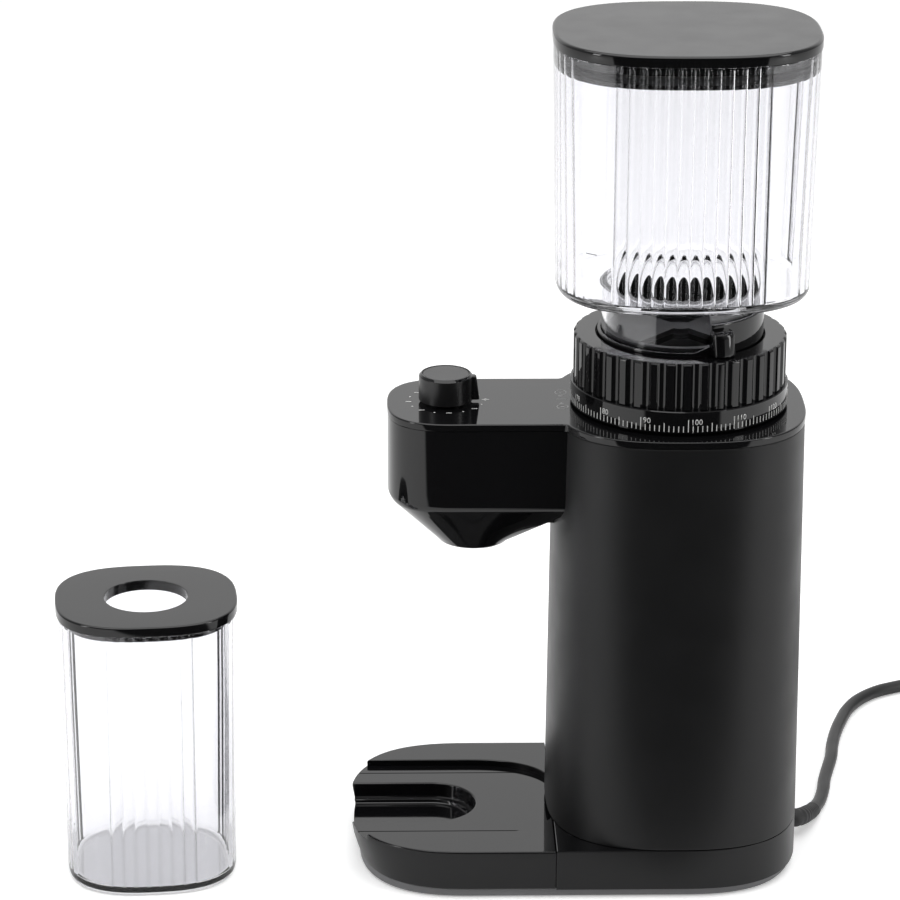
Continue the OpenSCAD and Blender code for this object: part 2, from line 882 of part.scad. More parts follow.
module burr_carrier() {
    shelf_z = burr_z + burr_h;
    shelf_r = ring_burr_r - 3.5;
    throat_r = neck_in - 1;
    profile = [
        [ring_burr_r + seat_gap, carrier_z],
        [carrier_r, carrier_z],
        [carrier_r, carrier_top],
        [throat_r, carrier_top],
        [throat_r, carrier_top - 4],
        [shelf_r, shelf_z + 3],
        [shelf_r, shelf_z],
        [ring_burr_r + seat_gap, shelf_z]
    ];
    color("#2b2c2e") {
        rotate_extrude() polygon(profile);
        for (a = [0, 180])
            rotate([0, 0, a]) translate([carrier_r - 1, -key_w / 2, carrier_z])
                cube([1 + key_d, key_w, carrier_top - 12 - carrier_z]);
    }
}

module feed_auger() {
    color("#a9abad")
        translate([0, 0, burr_z + burr_h])
            difference() {
                union() {
                    cylinder(r = 6.5, h = auger_h);
                    for (a = [0, 120, 240])
                        rotate([0, 0, a]) translate([5, 0, auger_h / 2]) rotate([35, 0, 0])
                            translate([0, -1, -2]) cube([5.4, 2, 4]);
                }
                translate([0, 0, -1]) cylinder(r = shaft_r, h = auger_h + 2);
            }
}

module burr_nut() {
    color("#b9bbbe")
        translate([0, 0, burr_z + burr_h + auger_h])
            difference() {
                cylinder(r = 6, h = 4.5, $fn = 6);
                translate([0, 0, -1]) cylinder(r = shaft_r, h = 4);
            }
}

module grinding_chamber() {
    color("#2f3033")
        difference() {
            union() {
                translate([0, 0, cover_top]) cylinder(r = chamber_r, h = cap_z - cover_top);
                translate([-duct_half, -duct_start, duct_z])
                    cube([2 * duct_half, duct_start - chamber_in, duct_top - duct_z]);
            }
            translate([0, 0, chamber_floor]) cylinder(r = chamber_in, h = cap_z);
            translate([0, 0, cover_top - 1]) cylinder(r = shaft_r + 1.5, h = chamber_floor_t + 2);
            translate([0, 0, chamber_floor - bearing_h]) cylinder(r = bearing_r, h = bearing_h + 1);
            translate([-port_half, -duct_start - 1, chamber_floor])
                cube([2 * port_half, duct_start, port_h]);
            for (a = [0, 180])
                rotate([0, 0, a]) translate([chamber_in - 1, -key_w / 2 - gap, carrier_z - carrier_down - gap])
                    cube([1 + key_d + gap, key_w + 2 * gap, cap_z]);
            at_cap_screws() translate([0, 0, cap_z - 8]) cylinder(r = 0.9 + seat_gap, h = 9);
        }
}

module at_cap_screws() {
    for (a = [60, 120, 240, 300])
        rotate([0, 0, a]) translate([chamber_r - chamber_wall / 2, 0, 0]) children();
}

module chamber_cap() {
    color("#2f3033")
        translate([0, 0, cap_z])
            difference() {
                tube(chamber_r, neck_in - 0.5, cap_t);
                translate([0, 0, -cap_z]) at_cap_screws()
                    translate([0, 0, cap_z - 1]) cylinder(r = 0.9 + seat_gap, h = cap_t + 2);
            }
}

module chamber_screws() {
    color("#8c8c90")
        at_cap_screws() translate([0, 0, cap_z - 7]) cylinder(r = 0.9, h = 7 + cap_t);
}

// ------------------------------------------------- top plate, arm, outlet

module top_plate() {
    over = 0.3;
    detent_r = (scale_r + chamber_r) / 2 + 0.3;
    color("#19191a")
        difference() {
            union() {
                translate([0, 0, plate_z])
                    rounded_block(column_top_half_x + over, column_top_half_y + over, top_plate_t);
                arm_block(-over / 2, plate_z, top_plate_t, 20);
            }
            translate([0, 0, plate_z - 1]) cylinder(r = chamber_r + seat_gap, h = top_plate_t + 2);
            translate([0, -knob_reach, plate_z - 1])
                cylinder(r = spindle_r + run_gap + bush_wall + seat_gap, h = top_plate_t + 2);
            rotate([0, 0, 200]) translate([detent_r, 0, plate_z - 1])
                cylinder(r = 1.5 + seat_gap, h = top_plate_t + 2);
        }
}

module detent_pin() {
    detent_r = (scale_r + chamber_r) / 2 + 0.3;
    color("#b9bbbe")
        rotate([0, 0, 200]) translate([detent_r, 0, plate_z - 4])
            cylinder(r = 1.5, h = ring_z - gap - plate_z + 4);
}

// The arm's lower outline drawn down and back to the round outlet.
module funnel(inset) {
    belly_y = (arm_reach - 14 + column_top_half_y - 5) / 2;
    belly_half = (arm_reach - 14 - column_top_half_y + 5) / 2;
    hull() {
        arm_block(inset, arm_bottom, eps, column_top_half_y - 6);
        arm_block(inset + 3.2, arm_bottom - 6.5, eps, column_top_half_y - 5);
        translate([0, -belly_y, arm_bottom - 12 + inset / 2])
            rounded_block(20 - inset, belly_half, eps);
        translate([0, -outlet_reach, outlet_bottom + inset / 2])
            cylinder(r = funnel_r - inset / 2, h = eps, $fn = 32);
    }
}

module arm_shell() {
    back = column_top_half_y - 8;
    tube_r = outlet_bore + outlet_wall + seat_gap;
    h = column_top - base_top;
    color("#19191a")
        difference() {
            union() {
                arm_block(0, arm_bottom, plate_z - arm_bottom, back);
                funnel(0);
            }
            arm_block(arm_wall, arm_bottom, plate_z, back - 1);
            intersection() {
                funnel(arm_wall);
                translate([-arm_half, -arm_reach, duct_z - chute_wall - 4])
                    cube([2 * arm_half, arm_reach, 60]);
            }
            translate([0, -outlet_reach, outlet_bottom - 1]) cylinder(r = tube_r, h = 40);
            translate([0, 0, base_top])
                tapered_block(base_half_x + seat_gap, base_half_y + seat_gap,
                              column_top_half_x + seat_gap, column_top_half_y + seat_gap, h + 1);
        }
}

module grounds_chute() {
    floor_z = chamber_floor - chute_wall;
    length = duct_end - duct_start - seat_gap;
    color("#26272a")
        difference() {
            union() {
                translate([-port_half - chute_wall, -duct_end, floor_z])
                    cube([2 * (port_half + chute_wall), length, port_h + 2 * chute_wall]);
                translate([0, -outlet_reach, outlet_bottom + 1])
                    cylinder(r = outlet_bore + outlet_wall, h = floor_z - outlet_bottom);
            }
            translate([-port_half, chute_wall - duct_end, chamber_floor])
                cube([2 * port_half, length, port_h]);
            translate([0, -outlet_reach, outlet_bottom]) cylinder(r = outlet_bore, h = chamber_floor);
        }
}

// -------------------------------------------------------------- controls

module knob_encoder() {
    bush_r = spindle_r + run_gap + bush_wall;
    color("#3b3c3f")
        translate([0, -knob_reach, 0])
            difference() {
                union() {
                    translate([-encoder_half, -encoder_half, encoder_z])
                        cube([2 * encoder_half, 2 * encoder_half, plate_z - encoder_z]);
                    translate([0, 0, plate_z - 1]) cylinder(r = bush_r, h = bush_top - plate_z + 1);
                }
                translate([0, 0, encoder_z + 1]) cylinder(r = spindle_r + run_gap, h = 30);
            }
}

module knob_board() {
    color("#1f5a38")
        translate([-15, -knob_reach - 14, encoder_z - 1.6]) cube([30, 28, 1.6]);
}

module knob_spindle() {
    color("#b9bbbe")
        translate([0, -knob_reach, encoder_z + 1 + gap])
            cylinder(r = spindle_r, h = knob_z + knob_h - 3.5 - encoder_z - 1 - gap);
}

module knob_cap() {
    bush_r = spindle_r + run_gap + bush_wall;
    color("#1a1a1b")
        translate([0, -knob_reach, knob_z])
            difference() {
                union() {
                    cylinder(r1 = knob_r, r2 = knob_shoulder_r, h = knob_h - bevel_h);
                    translate([0, 0, knob_h - bevel_h])
                        cylinder(r1 = knob_shoulder_r, r2 = knob_top_r, h = bevel_h);
                    rotate([90, 0, 90])
                        translate([0, 0, -pointer_w / 2]) linear_extrude(pointer_w)
                            polygon([
                                [0, 0],
                                [pointer_reach, 0],
                                [pointer_reach - pointer_lean, pointer_top],
                                [0, pointer_top]
                            ]);
                }
                translate([0, 0, -1]) cylinder(r = spindle_r + run_gap, h = knob_h - 1.2);
                translate([0, 0, -1]) cylinder(r = bush_r + gap, h = 1 + knob_travel + 1.6);
                translate([0, 0, knob_h - 0.8]) cylinder(r = knob_top_r - 1, h = 1);
            }
}

module knob_face() {
    color("#2a2a2c")
        translate([0, -knob_reach, knob_z + knob_h - 0.8])
            cylinder(r = knob_top_r - 1 - seat_gap, h = 0.6);
}

// --------------------------------------------------------- adjusting ring

module adjusting_ring() {
    skirt_in = chamber_r + gap * 2;
    band_seat = grip_r - flute_depth - 0.6;
    color("#161617")
        difference() {
            union() {
                translate([0, 0, ring_z]) cylinder(r = band_seat, h = ring_h);
                translate([0, 0, ring_z + scale_h]) cylinder(r = grip_r, h = ring_h - scale_h);
            }
            translate([0, 0, ring_z - 1]) cylinder(r = skirt_in, h = ring_h - ring_lid_t + 1);
            translate([0, 0, ring_z]) cylinder(r = ring_mouth_r, h = ring_h + 1);
            for (i = [0 : flutes - 1])
                rotate([0, 0, (i + 0.5) * 360 / flutes])
                    translate([grip_r + flute_cut_r - flute_depth, 0, ring_z + scale_h])
                        cylinder(r = flute_cut_r, h = ring_h - scale_h - flute_top);
        }
}

module scale_band() {
    color("#161617")
        translate([0, 0, ring_z]) tube(scale_r, grip_r - flute_depth - 0.6 + seat_gap, scale_h);
}

// ----------------------------------------------------------------- hopper

module hopper_shell() {
    foot_x = hopper_half_x - hopper_draft;
    foot_y = hopper_half_y - hopper_draft;
    in = hopper_wall;
    color([0.85, 0.87, 0.9, 0.35])
        difference() {
            union() {
                stacked_squares([
                    [foot_x - 3.6, foot_y - 3.6, hopper_bottom],
                    [foot_x - 1, foot_y - 1, hopper_bottom + hopper_edge / 3],
                    [foot_x, foot_y, hopper_bottom + hopper_edge],
                    [hopper_half_x, hopper_half_y, hopper_rim]
                ]);
                translate([0, 0, neck_z]) cylinder(r = neck_r, h = hopper_bottom - neck_z + 1);
            }
            translate([0, 0, hopper_bottom + hopper_floor_t])
                linear_extrude(hopper_rim - hopper_bottom,
                               scale = [(hopper_half_x - in) / (foot_x - in),
                                        (hopper_half_y - in) / (foot_y - in)],
                               slices = 1)
                    polygon(fluted_square(foot_x - in, foot_y - in, hopper_flutes));
            translate([0, 0, gate_z + gate_t]) cylinder(r = neck_in, h = hopper_rim);
            translate([0, 0, neck_z - 1]) cylinder(r = neck_in, h = gate_z - neck_z + 1);
            for (a = [0, 180])
                translate([0, 0, neck_z]) sector(a, gate_half_angle, gate_hub, shutter_r - 3, 10);
            translate([0, 0, shutter_z - gap])
                sector(lever_angle + lever_sweep / 2, lever_sweep / 2 + 8, neck_in - 1, neck_r + 1,
                       shutter_t + 2 * gap);
        }
}

module locking_collar() {
    step = 12;
    steps = 3;
    front = 360 - collar_back - step * steps;
    color("#141415") {
        translate([0, 0, cap_top + gap])
            difference() {
                tube(collar_out, collar_in, collar_high);
                translate([0, 0, collar_low])
                    sector(lever_angle + collar_back + front / 2, front / 2, collar_in - 1,
                           collar_out + 1, collar_high);
                for (i = [1 : steps])
                    translate([0, 0, collar_high - 3 * i])
                        sector(lever_angle - step * (i - 0.5), step / 2 + 0.1 * i, collar_in - 1,
                               collar_out + 1, collar_high);
            }
        rotate([0, 0, lever_angle])
            translate([collar_out - 0.6, -lever_w / 2, ring_top + gap])
                cube([lever_reach + 0.6, lever_w, lever_h]);
    }
}

module shutter_disc() {
    color("#141415")
        translate([0, 0, shutter_z]) {
            difference() {
                cylinder(r = shutter_r, h = shutter_t);
                for (a = [0, 180])
                    translate([0, 0, -1])
                        sector(a, gate_half_angle, gate_hub, shutter_r - 3, shutter_t + 2);
            }
            sector(lever_angle, 4, shutter_r - 1, collar_in, shutter_t);
        }
}

module hopper_lid() {
    in = hopper_wall + flute_d + gap + 0.8;
    hx = hopper_half_x - in;
    hy = hopper_half_y - in;
    color("#1a1a1b") {
        translate([0, 0, hopper_rim + seat_gap])
            rounded_block(hopper_half_x + lid_over, hopper_half_y + lid_over, lid_t - seat_gap);
        translate([0, 0, hopper_rim - skirt_d])
            difference() {
                rounded_block(hx, hy, skirt_d + 1);
                translate([0, 0, -1]) rounded_block(hx - skirt_wall, hy - skirt_wall, skirt_d + 1);
                difference() {
                    translate([0, 0, seal_up]) rounded_block(hx + 1, hy + 1, seal_h);
                    translate([0, 0, seal_up - 1]) rounded_block(hx - 1, hy - 1, seal_h + 2);
                }
            }
    }
}

module lid_seal() {
    in = hopper_wall + flute_d + gap;
    hx = hopper_half_x - in;
    hy = hopper_half_y - in;
    color("#2c2c2e")
        translate([0, 0, hopper_rim - skirt_d + seal_up + seat_gap])
            difference() {
                rounded_block(hx - 0.1, hy - 0.1, seal_h - 2 * seat_gap);
                translate([0, 0, -1])
                    rounded_block(hx - 1.8 + seat_gap, hy - 1.8 + seat_gap, seal_h + 2);
            }
}

// ------------------------------------------------------------- catch tray

module tray_slot(grow, z, h) {
    r = slot_half + grow;
    centre_y = slot_reach + slot_half;
    translate([0, -centre_y, z]) {
        cylinder(r = r, h = h);
        translate([-r, -tray_reach, 0]) cube([2 * r, tray_reach, h]);
    }
}

module catch_tray() {
    recess_z = tray_top - recess_d;
    recess_y = seam_reach + recess_half;
    color("#1b1b1c")
        difference() {
            tray_block(0, tray_low, tray_top - tray_low, seam_reach + gap);
            translate([0, -recess_y, recess_z]) {
                rounded_block(recess_half, recess_half + 3, recess_d + 1);
                translate([-recess_half, -tray_reach, 0])
                    cube([2 * recess_half, tray_reach, recess_d + 1]);
            }
            tray_slot(0, slot_z, slot_d + 1);
            difference() {
                tray_block(tray_wall, tray_low - 1, recess_z - tray_wall - tray_low + 1, seam_reach - 1);
                tray_slot(tray_wall, slot_z - tray_wall, tray_top);
            }
        }
}

// -------------------------------------------------------------- container

module at_container() {
    translate([container_x, -container_y, 0]) rotate([0, 0, container_turn]) children();
}

module grounds_container() {
    rim_z = container_h - container_lid_t;
    foot_x = container_half_x - container_draft;
    foot_y = container_half_y - container_draft;
    in = container_wall;
    edge = 2.5;
    color([0.85, 0.87, 0.9, 0.35])
        at_container()
            difference() {
                stacked_squares([
                    [foot_x - 1.6, foot_y - 1.6, 0],
                    [foot_x, foot_y, edge],
                    [container_half_x, container_half_y, rim_z]
                ]);
                translate([0, 0, container_wall + 1])
                    linear_extrude(rim_z,
                                   scale = [(container_half_x - in) / (foot_x - in),
                                            (container_half_y - in) / (foot_y - in)],
                                   slices = 1)
                        polygon(fluted_square(foot_x - in, foot_y - in, container_flutes));
            }
}

module container_lid() {
    rim_z = container_h - container_lid_t;
    over = 1;
    in = container_wall + flute_d + gap;
    hx = container_half_x - in;
    hy = container_half_y - in;
    skirt = 7;
    wall = 1.6;
    color("#1a1a1b")
        at_container()
            difference() {
                union() {
                    translate([0, 0, rim_z + seat_gap])
                        rounded_block(container_half_x + over, container_half_y + over,
                                      container_lid_t - seat_gap);
                    translate([0, 0, rim_z - skirt])
                        difference() {
                            rounded_block(hx - 0.2, hy - 0.2, skirt + 1);
                            translate([0, 0, -1])
                                rounded_block(hx - 0.2 - wall, hy - 0.2 - wall, skirt + 1);
                        }
                }
                translate([0, 0, rim_z - 1]) cylinder(r = filling_r, h = container_lid_t + 2);
            }
}

// ------------------------------------------------------------------- cord

module strain_relief() {
    root_r = cord_r + relief_wall;
    way = cord_route[0] - relief_from;
    tilt = acos(way[2] / norm(way));
    turn = atan2(way[1], way[0]);
    color("#151515") {
        translate([relief_from[0], base_half_y - 2 * base_wall, relief_from[2]])
            rotate([-90, 0, 0])
                cylinder(r = root_r, h = relief_from[1] - base_half_y + 2 * base_wall);
        translate(relief_from) sphere(r = root_r);
        translate(relief_from) rotate([0, tilt, turn])
            cylinder(r1 = root_r, r2 = cord_r + 0.5, h = norm(way));
    }
}

module cord_lead() {
    color("#151515") swept_tube(cord_route, cord_r);
}

module cord_coil() {
    color("#151515")
        translate([coil_centre[0], coil_centre[1], 0])
            rotate_extrude()
                translate([coil_r - 1.5 * cord_d, 0]) square([3 * cord_d, cord_d]);
}

module cord_tail() {
    color("#151515") swept_tube(tail_route, cord_r);
}

module at_plug() {
    translate(tail_route[len(tail_route) - 1]) rotate([0, 90, 0]) children();
}

module plug_body() {
    color("#151515")
        at_plug() {
            cylinder(r1 = cord_r + 0.5, r2 = cord_r + 2.2, h = plug_boot + 1);
            translate([0, 0, plug_boot]) rounded_block(plug_h / 2, plug_half, plug_len);
        }
}

module plug_pins() {
    color("#c9b46a")
        at_plug()
            for (s = [-1, 1])
                translate([-3.2, s * 6.35 - 0.75, plug_boot + plug_len]) cube([6.4, 1.5, pin_len]);
}

rubber_feet();
base_plate();
base_body();
base_screws();
column_shell();
inner_frame();
motor_can();
motor_end_cap();
motor_screws();
control_board();
board_parts();
gearbox_case();
gearbox_cover();
gearbox_screws();
idler_axle();
lower_bearing();
upper_bearing();
grinding_chamber();
chamber_cap();
chamber_screws();
top_plate();
detent_pin();
arm_shell();
grounds_chute();
knob_encoder();
knob_board();
strain_relief();
cord_lead();
cord_coil();
cord_tail();
plug_body();
plug_pins();
motor_pinion();
idler_gear();
burr_shaft();
output_gear();
grounds_sweeper();
cone_burr();
feed_auger();
burr_nut();
adjusting_ring();
scale_band();
burr_carrier();
ring_burr();
hopper_shell();
locking_collar();
shutter_disc();
hopper_lid();
lid_seal();
knob_spindle();
knob_cap();
knob_face();
catch_tray();
grounds_container();
container_lid();
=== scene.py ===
import json
import math

import bmesh
import bpy
import numpy as np
from mathutils import Matrix, Vector
from mathutils.bvhtree import BVHTree

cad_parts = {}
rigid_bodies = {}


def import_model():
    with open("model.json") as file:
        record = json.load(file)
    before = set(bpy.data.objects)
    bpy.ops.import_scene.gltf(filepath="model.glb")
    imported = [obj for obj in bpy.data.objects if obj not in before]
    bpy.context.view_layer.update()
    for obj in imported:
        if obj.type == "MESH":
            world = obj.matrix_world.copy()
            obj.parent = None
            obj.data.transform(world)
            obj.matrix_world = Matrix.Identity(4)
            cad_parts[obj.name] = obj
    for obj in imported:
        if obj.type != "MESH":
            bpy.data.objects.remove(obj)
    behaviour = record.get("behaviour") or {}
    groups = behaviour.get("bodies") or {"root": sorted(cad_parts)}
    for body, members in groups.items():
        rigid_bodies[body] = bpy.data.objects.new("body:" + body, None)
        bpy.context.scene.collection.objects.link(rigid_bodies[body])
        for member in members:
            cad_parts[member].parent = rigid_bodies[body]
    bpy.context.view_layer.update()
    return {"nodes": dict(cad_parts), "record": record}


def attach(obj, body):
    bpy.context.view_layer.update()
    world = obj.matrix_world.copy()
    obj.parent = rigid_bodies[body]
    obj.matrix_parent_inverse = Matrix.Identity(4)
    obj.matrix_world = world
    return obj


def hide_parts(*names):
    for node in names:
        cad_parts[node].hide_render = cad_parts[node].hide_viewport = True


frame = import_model()
MM = 0.001

# ---------------------------------------------------------------- camera

cam_data = bpy.data.cameras.new("camera")
cam_data.lens = 159.76
cam_data.sensor_width = 36
cam_data.sensor_fit = "HORIZONTAL"
cam_data.clip_start = 0.1
cam_data.clip_end = 20
camera = bpy.data.objects.new("camera", cam_data)
bpy.context.scene.collection.objects.link(camera)
bpy.context.scene.camera = camera
bpy.context.scene.view_settings.view_transform = "Standard"
YAW, ROLL = -0.022, 0.004
forward = Vector((-0.93931, 0.02030, -0.34248)).normalized()
level = Vector((-math.sin(YAW), math.cos(YAW), 0))
level = (level - forward * level.dot(forward)).normalized()
upright = level.cross(forward)
right = math.cos(ROLL) * level + math.sin(ROLL) * upright
top = -math.sin(ROLL) * level + math.cos(ROLL) * upright
camera.matrix_world = Matrix((
    (right.x, top.x, -forward.x, 1.6494),
    (right.y, top.y, -forward.y, -0.1357),
    (right.z, top.z, -forward.z, 0.7914),
    (0, 0, 0, 1),
))

# ------------------------------------------------------------- materials


def nodes_of(name):
    mat = bpy.data.materials.new(name)
    mat.use_nodes = True
    tree = mat.node_tree
    return mat, tree, tree.nodes["Principled BSDF"]


def add_node(tree, kind, inputs=(), **settings):
    """A new shader node. Each input is a value, or a socket to link from."""
    made = tree.nodes.new("ShaderNode" + kind)
    for key, value in settings.items():
        setattr(made, key, value)
    for key, value in dict(inputs).items():
        if isinstance(value, bpy.types.NodeSocket):
            tree.links.new(value, made.inputs[key])
        else:
            made.inputs[key].default_value = value
    return made


def noise(tree, scale, detail=3.0, stretch=(1, 1, 1)):
    place = add_node(tree, "TexCoord").outputs["Object"]
    mapped = add_node(tree, "Mapping", {"Vector": place, "Scale": stretch})
    return add_node(tree, "TexNoise", {"Vector": mapped.outputs["Vector"], "Scale": scale,
                                       "Detail": detail, "Roughness": 0.5}).outputs["Fac"]


def spread(tree, fac, low, high):
    return add_node(tree, "MapRange", {"Value": fac, "From Min": 0.3, "From Max": 0.7,
                                       "To Min": low, "To Max": high}).outputs["Result"]


def uneven(tree, shader, tones, tone_noise, rough, rough_noise):
    """Base colour and roughness that each drift between two values."""
    tone = add_node(tree, "Mix", {"Factor": tone_noise, "A": tones[0], "B": tones[1]},
                    data_type="RGBA")
    tree.links.new(tone.outputs["Result"], shader.inputs["Base Color"])
    tree.links.new(spread(tree, rough_noise, *rough), shader.inputs["Roughness"])


def relieved(tree, shader, height, strength, distance):
    bump = add_node(tree, "Bump", {"Strength": strength, "Distance": distance, "Height": height})
    tree.links.new(bump.outputs["Normal"], shader.inputs["Normal"])


def plain(name, color, rough, metal=0.0, grain=900.0, bump=0.03, height=0.00005,
          vary=0.12, swing=0.03, stretch=(1, 1, 1), specular=0.5, broad=35.0):
    """A surface with a fine moulded, cast or ground grain, and a broad, faint change in tone."""
    mat, tree, shader = nodes_of(name)
    shader.inputs["Metallic"].default_value = metal
    shader.inputs["Specular IOR Level"].default_value = specular
    uneven(tree, shader, [[c * (1 + v) for c in color] + [1] for v in (-vary, vary)],
           noise(tree, broad, 2.0), (rough - swing, rough + swing),
           noise(tree, broad * 1.7, 2.0))
    relieved(tree, shader, noise(tree, grain, 4.0, stretch), bump, height)
    return mat


def clear(name, color, rough):
    """Clear moulded plastic: a little uneven, as mouldings are."""
    mat, tree, shader = nodes_of(name)
    shader.inputs["Transmission Weight"].default_value = 1.0
    shader.inputs["IOR"].default_value = 1.5
    uneven(tree, shader, ([*color, 1], [min(1, c * 1.01) for c in color] + [1]),
           noise(tree, 18.0, 1.0), (max(0, rough - 0.006), rough + 0.006),
           noise(tree, 60.0, 2.0))
    relieved(tree, shader, noise(tree, 55.0, 1.0), 0.05, 0.0004)
    return mat


SATIN = plain("satin_black", (0.0095, 0.0095, 0.01), 0.4, grain=2600, bump=0.16,
              height=0.00006, specular=0.32)
SIDES = plain("moulded_black", (0.006, 0.006, 0.0065), 0.32, grain=2200, bump=0.1,
              height=0.00005, specular=0.34)
GLOSS = plain("gloss_black", (0.0045, 0.0045, 0.005), 0.055, grain=40, bump=0.04, height=0.0002,
              swing=0.015)
LID_TOP = plain("lid_black", (0.008, 0.008, 0.0085), 0.24, grain=2400, bump=0.06)
CLEAR = clear("clear_plastic", (0.935, 0.935, 0.957), 0.008)
PRINT = plain("white_print", (0.78, 0.78, 0.77), 0.5, grain=3000, bump=0.05, vary=0.04)
FAINT = plain("grey_print", (0.34, 0.34, 0.34), 0.5, grain=3000, bump=0.05, vary=0.05)
RUBBER = plain("rubber", (0.017, 0.017, 0.018), 0.55, grain=1600, bump=0.2)
KNOB_BLACK = plain("knob_black", (0.009, 0.009, 0.0095), 0.3, grain=2600, bump=0.12,
                   height=0.00005)
CORD = plain("cord_rubber", (0.012, 0.012, 0.0125), 0.42, grain=500, bump=0.12, height=0.0001)
STRIP = plain("floor_plate", (0.16, 0.16, 0.165), 0.42, grain=1800, bump=0.12)
INNER = plain("inner_black", (0.03, 0.03, 0.032), 0.46, grain=1500, bump=0.12)
CAST = plain("cast_metal", (0.42, 0.43, 0.44), 0.42, metal=1.0, grain=700, bump=0.35,
             height=0.0001)
CAN = plain("motor_steel", (0.5, 0.51, 0.52), 0.36, metal=1.0, grain=900, bump=0.1,
            stretch=(1, 1, 0.05))
BRIGHT = plain("bright_steel", (0.62, 0.63, 0.64), 0.2, metal=1.0, grain=1200, bump=0.08,
               stretch=(1, 1, 12))
BURR = plain("burr_steel", (0.4, 0.4, 0.41), 0.3, metal=1.0, grain=1400, bump=0.25,
             stretch=(1, 1, 6))
BRASS = plain("brass", (0.68, 0.52, 0.24), 0.25, metal=1.0, grain=1200, bump=0.08,
              stretch=(1, 1, 8))
BOARD = plain("board_green", (0.03, 0.14, 0.07), 0.35, grain=1500, bump=0.1)
ACETAL = plain("acetal", (0.72, 0.7, 0.63), 0.4, grain=1500, bump=0.08)

LOOKS = {
    "foot_rubber": RUBBER, "base_strip": STRIP, "satin_black": SATIN, "gloss_black": GLOSS,
    "clear_plastic": CLEAR, "seal_rubber": RUBBER, "plug_brass": BRASS, "inner_black": INNER,
    "cast_metal": CAST, "motor_steel": CAN, "bright_steel": BRIGHT, "burr_steel": BURR,
    "board_green": BOARD, "gear_plastic": ACETAL,
}
for part in frame["record"]["subparts"]:
    carried = frame["nodes"][part["node"]]
    carried.data.materials.clear()
    carried.data.materials.append(LOOKS[part["material_slot"]])

# --------------------------------------------------------------- outlines

BULGE = 2.7   # the exponent of the rounded squares that the object is drawn with


def even(points, count):
    """count points, evenly spaced along a closed line, from its first point on."""
    line = np.vstack([points, points[:1]])
    reach = np.concatenate([[0], np.cumsum(np.linalg.norm(np.diff(line, axis=0), axis=1))])
    u = np.linspace(0, reach[-1], count, endpoint=False)
    return np.column_stack([np.interp(u, reach, line[:, i]) for i in range(2)])


def bent(t, hx, hy, centre=(0, 0), n=BULGE):
    """The points of a superellipse at parameters t."""
    c, s = np.cos(t), np.sin(t)
    return np.column_stack([hx * np.sign(c) * np.abs(c) ** (2 / n),
                            hy * np.sign(s) * np.abs(s) ** (2 / n)]) + np.array(centre)


def squircle(hx, hy, count=200, n=BULGE, centre=(0, 0)):
    t = np.linspace(0, 2 * np.pi, 4000, endpoint=False)
    return even(bent(t, hx, hy, n=n), count) + np.array(centre)


def around(r, phis, centre=(0, 0)):
    """The points at distance r from centre in each direction."""
    return np.column_stack([r * np.cos(phis), r * np.sin(phis)]) + np.array(centre)


def circle(r, count, centre=(0, 0)):
    return around(r, np.linspace(0, 2 * np.pi, count, endpoint=False), centre)


def side_of(half, other, along, n=BULGE):
    return half * (1 - (np.abs(along) / other) ** n) ** (1 / n)


def fluted(hx, hy, count, depth, pitch=5.4, per=14, n=BULGE):
    """A rounded square with half-round flutes cut into the middles of its sides."""
    reach = count * pitch / 2
    a = np.linspace(-reach, reach, count * per, endpoint=False)
    across = 2 * ((a + reach) / pitch % 1) - 1
    dip = -depth * (1 - across ** 2)
    t = np.linspace(math.asin((reach / hy) ** (n / 2)), math.acos((reach / hx) ** (n / 2)),
                    26, endpoint=False)
    corner = np.column_stack([hx * np.cos(t) ** (2 / n), hy * np.sin(t) ** (2 / n)])
    east = np.column_stack([side_of(hx, hy, a, n) - dip, a])
    north = np.column_stack([-a, side_of(hy, hx, a, n) - dip])
    last = np.array([[reach, side_of(hy, hx, reach, n)]])
    turned = np.vstack([last, corner[:0:-1]])
    return np.vstack([east, corner, north, turned * (-1, 1), -east, -corner, -north,
                      turned * (1, -1)])


def offset(line, d):
    """A closed line moved inward by d along its own normals."""
    before, after = np.roll(line, 1, 0), np.roll(line, -1, 0)
    along = after - before
    along /= np.linalg.norm(along, axis=1)[:, None]
    return line + d * np.column_stack([-along[:, 1], along[:, 0]])


def soften(points, steps=6):
    """A profile of (a, b, radius): each inner corner becomes an arc of its radius."""
    out = []
    for i, (x, y, r) in enumerate(points):
        if r <= 0 or i in (0, len(points) - 1):
            out.append((x, y))
            continue
        p = np.array((x, y), float)
        u = np.array(points[i - 1][:2], float) - p
        v = np.array(points[i + 1][:2], float) - p
        lu, lv = np.linalg.norm(u), np.linalg.norm(v)
        u, v = u / lu, v / lv
        half = 0.5 * math.acos(max(-1, min(1, float(u @ v))))
        if half > 1.55:
            out.append((x, y))
            continue
        cut = min(r / math.tan(half), 0.48 * lu, 0.48 * lv)
        r = cut * math.tan(half)
        c = p + (u + v) / np.linalg.norm(u + v) * r / math.sin(half)
        a, b = p + u * cut - c, p + v * cut - c
        turn = math.acos(max(-1, min(1, float(a @ b) / r ** 2)))
        for k in range(steps + 1):
            f = k / steps
            w = (math.sin((1 - f) * turn) * a + math.sin(f * turn) * b) / math.sin(turn)
            out.append(tuple(c + w))
    return out


def ring(line, z):
    return np.column_stack([line, np.full(len(line), float(z))])


def skin(rings, closed=False):
    n, m = len(rings[0]), len(rings)
    verts = np.vstack(rings)
    faces = []
    for i in range(m if closed else m - 1):
        a, b = i * n, ((i + 1) % m) * n
        faces += [(a + k, a + (k + 1) % n, b + (k + 1) % n, b + k) for k in range(n)]
    if not closed:
        faces += [tuple(range(n))[::-1], tuple(range((m - 1) * n, m * n))]
    return verts, faces


# ----------------------------------------------------------------- pieces


